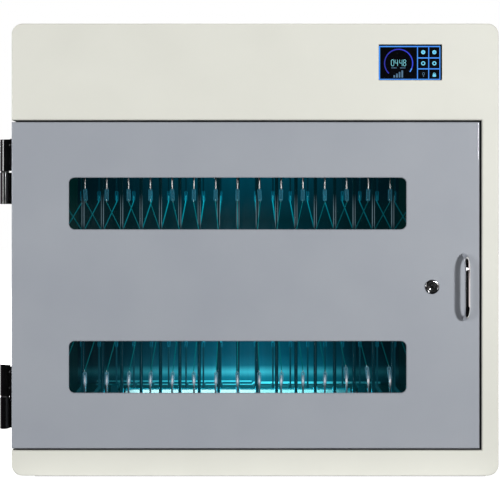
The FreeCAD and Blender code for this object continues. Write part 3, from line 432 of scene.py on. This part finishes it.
def tube(bm, points, radii, sides):
    """Add a round closed bar through the points, with its own radius at each."""
    points = [Vector(point) for point in points]
    rings = []
    across = (points[1] - points[0]).normalized().orthogonal().normalized()
    for index, (point, radius) in enumerate(zip(points, radii)):
        before = points[max(index - 1, 0)]
        after = points[min(index + 1, len(points) - 1)]
        turn = (after - before).normalized()
        across = (across - turn * across.dot(turn)).normalized()
        side = turn.cross(across)
        rings.append([bm.verts.new(point + radius * (across * math.cos(a) + side * math.sin(a)))
                      for a in circle(sides)])
    for low, high in zip(rings, rings[1:]):
        bridge(bm, low, high)
    bm.faces.new(rings[0][::-1])
    bm.faces.new(rings[-1])


def ring(bm, centre, radius, thick, sides=14, section=6):
    """Add a small ring that lies flat round a point."""
    loops = []
    for a in circle(sides):
        out = Vector((math.cos(a), math.sin(a), 0.0))
        loops.append([bm.verts.new(Vector(centre) + out * (radius + thick * math.cos(b))
                                   + Vector((0.0, 0.0, thick * math.sin(b))))
                      for b in circle(section)])
    for here, after in zip(loops, loops[1:] + loops[:1]):
        bridge(bm, after, here)


def lathe(bm, profile, centre, axis, steps):
    """Add a closed ring-shaped solid: profile points are radius and distance along the axis."""
    across = axis.orthogonal().normalized()
    side = axis.cross(across)
    rings = []
    for radius, distance in profile:
        middle = centre + axis * distance
        rings.append([bm.verts.new(middle + radius * (across * math.cos(a) + side * math.sin(a)))
                      for a in circle(steps)])
    for here, after in zip(rings, rings[1:] + rings[:1]):
        bridge(bm, here, after)


def block(bm, low, high):
    corners = [bm.verts.new((x, y, z)) for x in (low[0], high[0]) for y in (low[1], high[1])
               for z in (low[2], high[2])]
    for quad in ((0, 1, 3, 2), (4, 6, 7, 5), (0, 4, 5, 1), (2, 3, 7, 6), (0, 2, 6, 4), (1, 5, 7, 3)):
        bm.faces.new([corners[index] for index in quad])


def piece(name, bm, material, body, node=None, smooth=40.0):
    """Turn a bmesh into a named piece that moves with a body and may stand in for a node.
    Edges sharper than smooth, in degrees, stay sharp; 0 keeps every face flat."""
    bmesh.ops.recalc_face_normals(bm, faces=bm.faces)
    mesh = bpy.data.meshes.new(name)
    bm.to_mesh(mesh)
    bm.free()
    mesh.materials.append(material)
    if smooth:
        mesh.shade_smooth()
        mesh.set_sharp_from_angle(angle=math.radians(smooth))
    obj = bpy.data.objects.new(name, mesh)
    scene.collection.objects.link(obj)
    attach(obj, body)
    if node:
        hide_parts(node)


# Strung dividers: round rods, posts in clear sleeves, and wires that meet at each rod

DIVIDERS = 19
RUNNER_HALF_WIDTH = 0.003
ROD_DEPTH, FRONT_POST_DEPTH, REAR_POST_DEPTH = 0.225, 0.042, 0.408
ROD_SIDES, POST_SIDES, WIRE_SIDES = 14, 12, 8
ROD_FOOT_LENGTH = 0.004
ROD_RADII = [0.0042, 0.003, 0.003, 0.0042]
POST_LENGTH = 0.078
POST_SHARES = (0.0, 0.06, 0.98, 1.0)    # rings along a post, before the point in its sleeve
POST_RADII = [0.0024, 0.0016, 0.0016, 0.0016, 0.0009]
UPPER_POINT, LOWER_POINT = 0.1, 0.75    # how far that point reaches into the sleeve
SLEEVE_LENGTH = 0.018
SLEEVE_SHARES = (-0.02, 0.0, 0.08, 0.5, 0.92, 1.0)
SLEEVE_RADII = [0.0019, 0.0026, 0.0031, 0.0030, 0.0031, 0.0022]
LEAN_ACROSS, LEAN_DEEP = (-0.0006, 0.0011), (-0.0006, 0.0006)
APEX_RISE, APEX_DROP = 0.0785, 0.069    # where wires meet at a rod, from its middle
LOOP_RADIUS, LOOP_PITCH, LOOP_REACH = 0.0034, 0.0016, 0.0036
WIRE_RADIUS, WIRE_STUB = 0.0007, 0.002
FRONT_WIRE_START, REAR_WIRE_START = 0.85, 0.45    # where in its sleeve a wire starts
REAR_WIRE_RADIUS, REAR_WIRE_TAPER = 0.0013, 0.0005    # thinner towards both side walls
FIRST_SLIPPED = 14    # from here to the right, the lower front sleeves sit higher and lean left
SLIP_RISE, SLIP_LEAN = 0.008, 0.0022

runner_low, runner_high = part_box("divider_runners")
rod_low, rod_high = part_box("divider_mid_rods")
first, last = runner_low[0] + RUNNER_HALF_WIDTH, runner_high[0] - RUNNER_HALF_WIDTH
places = [first + (last - first) * index / (DIVIDERS - 1) for index in range(DIVIDERS)]
rod_heights = (rod_low[2], rod_low[2] + ROD_FOOT_LENGTH, rod_high[2] - ROD_FOOT_LENGTH, rod_high[2])
rack_mid = (rod_low[2] + rod_high[2]) / 2
chance = random.Random(11)

rods, posts, sleeves, wires = bmesh.new(), bmesh.new(), bmesh.new(), bmesh.new()
rear_posts, low_sleeves = bmesh.new(), bmesh.new()
for index, x in enumerate(places):
    y = FRONT + ROD_DEPTH
    tube(rods, [(x, y, z) for z in rod_heights], ROD_RADII, ROD_SIDES)
    rear_wire = REAR_WIRE_RADIUS - REAR_WIRE_TAPER * abs(2 * index / (DIVIDERS - 1) - 1)
    for sign, foot, offset in ((1, rod_high[2], APEX_RISE), (-1, rod_low[2], APEX_DROP)):
        apex = Vector((x, y, rack_mid + sign * offset))
        ring(wires, apex, LOOP_RADIUS, WIRE_RADIUS)
        ring(wires, apex + Vector((0, 0, sign * LOOP_PITCH)), LOOP_RADIUS, WIRE_RADIUS)
        for depth in (FRONT_POST_DEPTH, REAR_POST_DEPTH):
            in_front = depth == FRONT_POST_DEPTH
            low_front = in_front and sign < 0
            slipped = low_front and index >= FIRST_SLIPPED
            root = Vector((x, FRONT + depth, foot))
            tip = root - Vector((0, 0, sign * (POST_LENGTH + (SLIP_RISE if slipped else 0.0))))
            lean = Vector((chance.uniform(*LEAN_ACROSS), chance.uniform(*LEAN_DEEP), 0))
            if slipped:
                lean.x -= SLIP_LEAN
            end = tip - Vector((0, 0, sign * SLEEVE_LENGTH)) + lean
            point = tip.lerp(end, UPPER_POINT if sign > 0 else LOWER_POINT)
            tube(posts if in_front else rear_posts,
                 [root.lerp(tip, share) for share in POST_SHARES] + [point], POST_RADII, POST_SIDES)
            tube(low_sleeves if low_front else sleeves,
                 [tip.lerp(end, share) for share in SLEEVE_SHARES], SLEEVE_RADII, POST_SIDES)
            start = tip.lerp(end, FRONT_WIRE_START if in_front else REAR_WIRE_START)
            bend = end + (end - tip).normalized() * WIRE_STUB
            loop = apex + Vector((0, -LOOP_REACH if in_front else LOOP_REACH, 0))
            path = [start, end, bend, bend.lerp(loop, 0.5), loop]
            tube(wires, path, [WIRE_RADIUS if in_front else rear_wire] * len(path), WIRE_SIDES)

piece("rods_round", rods, rod_steel, "cabinet", "divider_mid_rods")
piece("posts_round", posts, post_steel, "cabinet", "divider_posts")
piece("posts_rear", rear_posts, shaded_rear_steel, "cabinet")
piece("sleeves_clear", sleeves, sleeve, "cabinet", "post_sleeves")
piece("sleeves_low", low_sleeves, lamp_lit_sleeve, "cabinet")
piece("wires_strung", wires, wire_steel, "cabinet", "divider_wires")


# Lamp: a glowing core in a clear tube

CORE_TAPER = 0.012
CORE_SHARES = (0.3, 0.62, 0.62, 0.3)    # of the tube's radius
BORE_SHARE = 0.88
CORE_SIDES, SHELL_SIDES = 24, 32

tube_low, tube_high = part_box("lamp_tube")
tube_mid = (Vector(tube_low) + Vector(tube_high)) / 2
tube_length = tube_high[0] - tube_low[0]
tube_radius = (tube_high[2] - tube_low[2]) / 2
tube_bore = tube_radius * BORE_SHARE
core = bmesh.new()
core_places = (tube_low[0], tube_low[0] + CORE_TAPER, tube_high[0] - CORE_TAPER, tube_high[0])
tube(core, [(x, tube_mid.y, tube_mid.z) for x in core_places],
     [tube_radius * share for share in CORE_SHARES], CORE_SIDES)
fade = along(lamp_glass.node_tree, "X", tube_low[0], tube_high[0],
             [(0.0, grey(0.4)), (0.06, grey(1.0)), (0.55, grey(1.0)), (0.62, rgb(0.62, 0.95, 0.95)),
              (0.84, rgb(0.45, 0.85, 0.88)), (0.96, rgb(0.06, 0.14, 0.15))])
blend_in(lamp_glass, "Emission Color", fade, "MULTIPLY")
piece("lamp_core", core, lamp_glass, "cabinet")

shell = bmesh.new()
lathe(shell, [(tube_bore, 0.0), (tube_radius, 0.0), (tube_radius, tube_length), (tube_bore, tube_length)],
      Vector((tube_low[0], tube_mid.y, tube_mid.z)), Vector((1, 0, 0)), SHELL_SIDES)
piece("lamp_shell", shell, lamp_shell, "cabinet", "lamp_tube")


# Folded foot of the back wall, whose glow is a painted reflection of the lamp

FOLD_INSET = 0.04
FOLD_SIDES = 8
fold_start, fold_end = wall_low[0] + FOLD_INSET, wall_high[0] - FOLD_INSET
folds = bmesh.new()
for out, path in (    # how far it stands out, then place across, height above the foot and radius
        (0.0008, [(fold_start, 0.0059, 0.0011), (MIDDLE, 0.0059, 0.0011)]),
        (0.012, [(fold_start, 0.0014, 0.0012), (MIDDLE, 0.0014, 0.0012), (MIDDLE + 0.004, 0.0050, 0.0022),
                 (fold_end, 0.0050, 0.0022)])):
    tube(folds, [(x, wall_low[1] - out, wall_low[2] + up) for x, up, radius in path],
         [radius for x, up, radius in path], FOLD_SIDES)
piece("wall_folds", folds, fold_reflection_steel, "cabinet")


# Lock face with its rings, and the collar on its plug

LOCK_BORE, LOCK_BARREL = 0.0066, 0.0095
LOCK_SIDES, LOCK_SHARP = 48, 30.0
FACE_RINGS = [(LOCK_BORE, 0.0002), (0.0067, 0.0001), (0.0074, 0.0001), (0.0080, 0.0001), (0.0083, 0.0006),
              (0.0087, 0.0007), (0.0090, 0.0001), (0.0096, 0.0001), (0.0103, 0.0004), (0.0108, 0.0010),
              (0.0110, 0.0018), (0.0110, 0.0025), (LOCK_BARREL, 0.0025)]
COLLAR_RINGS = [(0.0048, 0.0006), (0.0049, 0.0003), (0.0052, 0.0002), (0.0057, 0.0002), (0.0059, 0.0006)]

lock_low, lock_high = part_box("lock_housing")
lock_centre = Vector(((lock_low[0] + lock_high[0]) / 2, lock_low[1], (lock_low[2] + lock_high[2]) / 2))
lock_depth = lock_high[1] - lock_low[1]
inwards = Vector((0, 1, 0))
face, collar = bmesh.new(), bmesh.new()
lathe(face, [(LOCK_BORE, lock_depth)] + FACE_RINGS + [(LOCK_BARREL, lock_depth)],
      lock_centre, inwards, LOCK_SIDES)
lathe(collar, COLLAR_RINGS, lock_centre, inwards, LOCK_SIDES)
piece("lock_face", face, lock_steel, "door", "lock_housing", smooth=LOCK_SHARP)
piece("lock_collar", collar, chrome, "lock", smooth=LOCK_SHARP)


# Dark strips inside the door opening: painted shade that darkens the gap round the door

STILE_WIDTH, GAP_ENDS, GAP_SHADE_THICK = 0.0254, 0.0026, 0.0006
GAP_SHADE_INSET = 0.002
GAP_SHADE_START, GAP_SHADE_END = 0.0035, 0.0265    # depth behind the front face

door_low, door_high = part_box("door_panel")
stile, jamb = front_high[0] - STILE_WIDTH, front_low[0] + GAP_SHADE_INSET
sill, head = door_low[2] - GAP_ENDS, door_high[2] + GAP_ENDS
gap_shade_front, gap_shade_back = FRONT + GAP_SHADE_START, FRONT + GAP_SHADE_END
gap_shade = bmesh.new()
block(gap_shade, (stile - GAP_SHADE_THICK, gap_shade_front, sill), (stile, gap_shade_back, head))
block(gap_shade, (jamb, gap_shade_front, sill), (stile - GAP_SHADE_THICK, gap_shade_back, sill + GAP_SHADE_THICK))
block(gap_shade, (jamb, gap_shade_front, head - GAP_SHADE_THICK), (stile - GAP_SHADE_THICK, gap_shade_back, head))
piece("opening_gap_shade", gap_shade, rubber, "cabinet", smooth=0)


# Picture on the display: thin lit shapes on the glass

glass_low, glass_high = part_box("display_glass")
SCREEN_WIDTH = glass_high[0] - glass_low[0]
SCREEN_HEIGHT = glass_high[2] - glass_low[2]
SKIN_BACK, SKIN_FRONT = glass_low[1] - 0.00002, glass_low[1] - 0.00008


def on_screen(u, v, y):
    """A point on the display: u from its left edge, v down from its top, each 0 to 1."""
    return Vector((glass_low[0] + u * SCREEN_WIDTH, y, glass_high[2] - v * SCREEN_HEIGHT))


def slab(bm, outline):
    """Add a thin flat shape; its outline is a list of u and v."""
    front = [bm.verts.new(on_screen(u, v, SKIN_FRONT)) for u, v in outline]
    back = [bm.verts.new(on_screen(u, v, SKIN_BACK)) for u, v in outline]
    bm.faces.new(front)
    bm.faces.new(back[::-1])
    for a in range(len(outline)):
        b = (a + 1) % len(outline)
        bm.faces.new((front[a], back[a], back[b], front[b]))


def bar(bm, u0, v0, u1, v1):
    slab(bm, [(u0, v0), (u1, v0), (u1, v1), (u0, v1)])


def stroke(bm, points, width):
    """Add a line of a width in metres through points given as u and v."""
    metres = [(u * SCREEN_WIDTH, v * SCREEN_HEIGHT) for u, v in points]
    for (x0, z0), (x1, z1) in zip(metres, metres[1:]):
        length = math.hypot(x1 - x0, z1 - z0)
        dx, dz = (x1 - x0) / length * width / 2, (z1 - z0) / length * width / 2
        corners = [(x0 - dx * 0.5 - dz, z0 - dz * 0.5 + dx), (x1 + dx * 0.5 - dz, z1 + dz * 0.5 + dx),
                   (x1 + dx * 0.5 + dz, z1 + dz * 0.5 - dx), (x0 - dx * 0.5 + dz, z0 - dz * 0.5 - dx)]
        slab(bm, [(x / SCREEN_WIDTH, z / SCREEN_HEIGHT) for x, z in corners])


def arc(bm, centre, inner, outer, start, end, steps):
    """Add a band round a point; radii in metres, angles in degrees from the right, up positive."""
    u, v = centre
    rim = []
    for step in range(steps + 1):
        a = math.radians(start + (end - start) * step / steps)
        rim.append((math.cos(a), -math.sin(a)))
    for (c0, s0), (c1, s1) in zip(rim, rim[1:]):
        corners = [(inner * c0, inner * s0), (outer * c0, outer * s0), (outer * c1, outer * s1),
                   (inner * c1, inner * s1)]
        if inner == 0:
            corners = corners[1:]
        slab(bm, [(u + x / SCREEN_WIDTH, v + z / SCREEN_HEIGHT) for x, z in corners])


def lit(name, bm, material):
    piece(name, bm, material, "cabinet", smooth=0)


def screen_glow(name, bright, soft, patch=300.0):
    return glow(name, srgb(*bright), 1.0, srgb(*soft), patch)


lines = bmesh.new()
for edges in ((0.0, 0.04, 0.019, 0.99), (0.0, 0.04, 0.975, 0.072), (0.0, 0.964, 0.975, 0.99),
              (0.961, 0.04, 0.975, 0.99), (0.606, 0.04, 0.620, 0.99), (0.784, 0.04, 0.798, 0.99),
              (0.606, 0.362, 0.975, 0.392), (0.606, 0.668, 0.975, 0.698)):
    bar(lines, *edges)
lit("screen_lines", lines, screen_glow("screen_blue", (70, 156, 254), (60, 140, 248), 60.0))

GAUGE_CENTRE = (0.3136, 0.527)
GAUGE_LEFT, GAUGE_RIGHT = 0.09, 0.545
GAUGE_START, GAUGE_TURN, GAUGE_END = 226, -22, -37
gauge, gauge_tip = bmesh.new(), bmesh.new()
arc(gauge, GAUGE_CENTRE, 0.0202, 0.0218, GAUGE_START, GAUGE_TURN, 62)
arc(gauge_tip, GAUGE_CENTRE, 0.0201, 0.0219, GAUGE_TURN, GAUGE_END, 5)
gauge_blue = lit_surface("screen_gauge_blue", 1.0)
tree = gauge_blue.node_tree
blues = along(tree, "X", on_screen(GAUGE_LEFT, 0, 0).x, on_screen(GAUGE_RIGHT, 0, 0).x,
              [(0.0, srgb(28, 34, 160)), (0.45, srgb(36, 38, 192)), (1.0, srgb(36, 60, 222))])
tree.links.new(blues, shader_of(gauge_blue).inputs["Emission Color"])
lit("screen_gauge", gauge, gauge_blue)
lit("screen_gauge_tip", gauge_tip, screen_glow("screen_tip_blue", (86, 168, 250), (62, 128, 246), 200.0))

DIGITS = {    # strokes of each figure, in a box of 1 by 1
    "0": [[(0.25, 0), (0.75, 0), (1, 0.2), (1, 0.8), (0.75, 1), (0.25, 1), (0, 0.8), (0, 0.2), (0.25, 0)]],
    "4": [[(0.05, 0), (0, 0.5), (1, 0.56)], [(0.95, 0), (1, 1)]],
    "8": [[(0.25, 0), (0.75, 0), (1, 0.2), (0.75, 0.48), (1, 0.75), (0.75, 1), (0.25, 1), (0, 0.75),
           (0.25, 0.48), (0, 0.2), (0.25, 0)], [(0.25, 0.48), (0.75, 0.48)]],
}
DIGIT_WIDTH, DIGIT_HEIGHT, DIGIT_TOP, DIGIT_STROKE = 0.042, 0.172, 0.428, 0.00065
digits = bmesh.new()
for figure, start in (("0", 0.197), ("4", 0.256), ("4", 0.328), ("8", 0.388)):
    for line in DIGITS[figure]:
        stroke(digits, [(start + DIGIT_WIDTH * u, DIGIT_TOP + DIGIT_HEIGHT * v) for u, v in line],
               DIGIT_STROKE)
lit("screen_digits", digits, screen_glow("screen_cyan", (140, 226, 236), (112, 200, 214)))

# Two groups of short bars in a row, four rising bars and a small lamp
ROW_TOP, ROW_FOOT, ROW_BARS, ROW_FILL = 0.642, 0.668, 5, 0.72
RISING_LEFT, RISING_WIDTH, RISING_PITCH = 0.232, 0.026, 0.042
RISING_TOP, RISING_STEP, RISING_FOOT = 0.905, 0.045, 0.925
dim = bmesh.new()
for u0, u1 in ((0.200, 0.285), (0.337, 0.425)):
    width = (u1 - u0) / ROW_BARS
    for step in range(ROW_BARS):
        bar(dim, u0 + step * width, ROW_TOP, u0 + (step + ROW_FILL) * width, ROW_FOOT)
for step in range(4):
    left = RISING_LEFT + step * RISING_PITCH
    bar(dim, left, RISING_TOP - RISING_STEP * (step + 1), left + RISING_WIDTH, RISING_FOOT)
stroke(dim, [(0.690, 0.815), (0.700, 0.785), (0.716, 0.785), (0.726, 0.815), (0.716, 0.86), (0.700, 0.86),
             (0.690, 0.815)], 0.0006)
bar(dim, 0.700, 0.878, 0.716, 0.902)
lit("screen_dim_marks", dim, screen_glow("screen_dim", (84, 122, 150), (60, 94, 122)))

# Round icons in four fields, and a padlock below them
ICON_LEFT, ICON_RIGHT, ICON_UPPER, ICON_LOWER = 0.7035, 0.880, 0.216, 0.527
ICON_RADIUS, DOT_RADIUS = 0.0031, 0.0011
icons = bmesh.new()
for centre, inner in (((ICON_LEFT, ICON_UPPER), DOT_RADIUS), ((ICON_RIGHT, ICON_UPPER), 0.0),
                      ((ICON_LEFT, ICON_LOWER), 0.0017), ((ICON_RIGHT, ICON_LOWER), 0.0016)):
    arc(icons, centre, inner, ICON_RADIUS, 0, 360, 28)
slab(icons, [(0.859, 0.832), (0.901, 0.832), (0.907, 0.860), (0.907, 0.895), (0.898, 0.905), (0.862, 0.905),
             (0.853, 0.895), (0.853, 0.860)])
arc(icons, (ICON_RIGHT, 0.828), 0.0012, 0.0020, 0, 180, 12)
lit("screen_icons", icons, screen_glow("screen_pale", (124, 224, 248), (106, 206, 244)))

CROSS_STROKE, CENTRE_LIFT = 0.0007, 0.00007
centres = bmesh.new()
arc(centres, (ICON_LEFT, ICON_UPPER), 0.0, DOT_RADIUS, 0, 360, 16)
stroke(centres, [(0.861, 0.2161), (0.899, 0.2161)], CROSS_STROKE)
stroke(centres, [(ICON_RIGHT, 0.186), (ICON_RIGHT, 0.246)], CROSS_STROKE)
bmesh.ops.translate(centres, verts=centres.verts, vec=(0.0, -CENTRE_LIFT, 0.0))
lit("screen_icon_centres", centres, screen_glow("screen_mid_blue", (58, 150, 224), (48, 134, 210)))


# Floor, surroundings and light

def light_rays(tree):
    """1 for what the camera sees straight, in a reflection or through glass, else 0."""
    path = tree.nodes.new("ShaderNodeLightPath")
    total = path.outputs["Is Camera Ray"]
    for other in ("Is Glossy Ray", "Is Transmission Ray"):
        add = tree.nodes.new("ShaderNodeMath")
        add.operation = "ADD"
        add.use_clamp = True
        tree.links.new(total, add.inputs[0])
        tree.links.new(path.outputs[other], add.inputs[1])
        total = add.outputs[0]
    return total


WORLD_LIGHT, WORLD_SEEN = 0.03, 1.0
world = bpy.data.worlds.new("studio")
world.use_nodes = True
scene.world = world
tree = world.node_tree
background = tree.nodes["Background"]
background.inputs["Color"].default_value = grey(1.0)
brightness = tree.nodes.new("ShaderNodeMapRange")
brightness.inputs["To Min"].default_value = WORLD_LIGHT
brightness.inputs["To Max"].default_value = WORLD_SEEN
tree.links.new(light_rays(tree), brightness.inputs["Value"])
tree.links.new(brightness.outputs["Result"], background.inputs["Strength"])


def level(x0, x1, y0, y1, z):
    """Corners of a level rectangle."""
    return [(x0, y0, z), (x1, y0, z), (x1, y1, z), (x0, y1, z)]


def sideways(x, y0, y1, z0, z1):
    """Corners of an upright rectangle that looks to the side."""
    return [(x, y0, z0), (x, y1, z0), (x, y1, z1), (x, y0, z1)]


def stage_plane(name, corners, material):
    mesh = bpy.data.meshes.new(name)
    mesh.from_pydata(corners, [], [(0, 1, 2, 3)])
    mesh.materials.append(material)
    plane = bpy.data.objects.new(name, mesh)
    scene.collection.objects.link(plane)
    return plane


floor_paint = new_material("floor")
shader = shader_of(floor_paint)
shader.inputs["Base Color"].default_value = grey(0.35)
shader.inputs["Roughness"].default_value = 0.9
shader.inputs["Specular IOR Level"].default_value = 0.1
shader.inputs["Emission Color"].default_value = grey(1.0)
floor_paint.node_tree.links.new(light_rays(floor_paint.node_tree), shader.inputs["Emission Strength"])
stage_plane("floor", level(-6, 6, -6, 6, 0), floor_paint)

# A soft line of shade along the front's foot
SHADE_LEFT, SHADE_RIGHT, SHADE_FRONT, SHADE_BACK, SHADE_HEIGHT = 0.33, 0.345, 0.003, 0.02, 0.0004
contact_shade = glow("contact_shade", grey(0.42), 1.0, grey(0.5), 8.0)
stage_plane("contact_shade", level(MIDDLE - SHADE_LEFT, MIDDLE + SHADE_RIGHT, FRONT - SHADE_FRONT,
                                   FRONT + SHADE_BACK, SHADE_HEIGHT), contact_shade)

# Cards that only reflections show
card_black = finish("card_black", grey(0.004), grey(0.006), (0.8, 0.9), bump=0.0)
shader_of(card_black).inputs["Specular IOR Level"].default_value = 0.0
card_bright = glow("card_bright", rgb(1.0, 0.87, 0.86), 0.9, rgb(1.0, 0.90, 0.89), 2.0)
for name, corners, material in (
        ("dark_card", [(-5, -7, 0), (5, -7, 0), (5, -7, 9), (-5, -7, 9)], card_black),
        ("dark_left_card", sideways(-5, -7, -0.2, 0, 5), card_black),
        ("dark_right_card", sideways(5, -7, -0.3, 0, 5), card_black),
        ("dark_floor_card", level(-6, 6, -7, FRONT + 0.02, 0.001), card_black),
        ("dark_top_card", level(-5, 5, -7, FRONT - 0.01, 5), card_black),
        ("bright_right_card", sideways(1.5, -1.9, -0.2, 0.3, 1.4), card_bright),
        ("bright_low_card", sideways(1.5, -1.9, -0.2, 0.03, 0.2), card_bright),
        ("bright_left_card", sideways(-1.8, -0.92, -0.72, 0.25, 0.8), card_bright)):
    card = stage_plane(name, corners, material)
    card.visible_camera = False
    card.visible_diffuse = False
    card.visible_shadow = False


def area_light(name, place, target, power, width, height):
    data = bpy.data.lights.new(name, "AREA")
    data.shape = "RECTANGLE"
    data.size = width
    data.size_y = height
    data.energy = power
    light = bpy.data.objects.new(name, data)
    light.location = place
    light.rotation_euler = (Vector(target) - Vector(place)).to_track_quat("-Z", "Y").to_euler()
    scene.collection.objects.link(light)
    return light


area_light("key", (2.5, -5.4, 1.1), (0.0, FRONT, 0.36), 230.0, 0.6, 0.8)
area_light("fill", (-2.3, -3.5, 0.8), (0.0, FRONT, 0.34), 40.0, 0.6, 1.0)
left_edge = area_light("left_edge", (-2.6, -0.1, 0.5), (-0.36, FRONT, 0.34), 24.0, 0.5, 1.0)
left_edge.visible_glossy = False
area_light("top", (0.3, 0.6, 2.6), (0.0, 0.0, 0.4), 22.0, 1.2, 1.2)
area_light("back", (-0.9, 2.6, 1.1), (0.0, 0.27, 0.35), 34.0, 1.0, 1.0)
floor_bounce = area_light("floor_bounce", (MIDDLE, FRONT - 0.024, 0.003), (MIDDLE, FRONT, 0.012),
                          0.014, 0.72, 0.006)
floor_bounce.visible_camera = False
floor_bounce.visible_glossy = False
chamber_glow = area_light("chamber_glow", (tube_mid.x, tube_mid.y - 0.004, tube_high[2] + 0.001),
                          (tube_mid.x, tube_mid.y - 0.12, tube_high[2] + 0.3), 0.35, tube_length, 0.014)
chamber_glow.data.color = (0.04, 0.70, 0.96)
chamber_glow.visible_camera = False
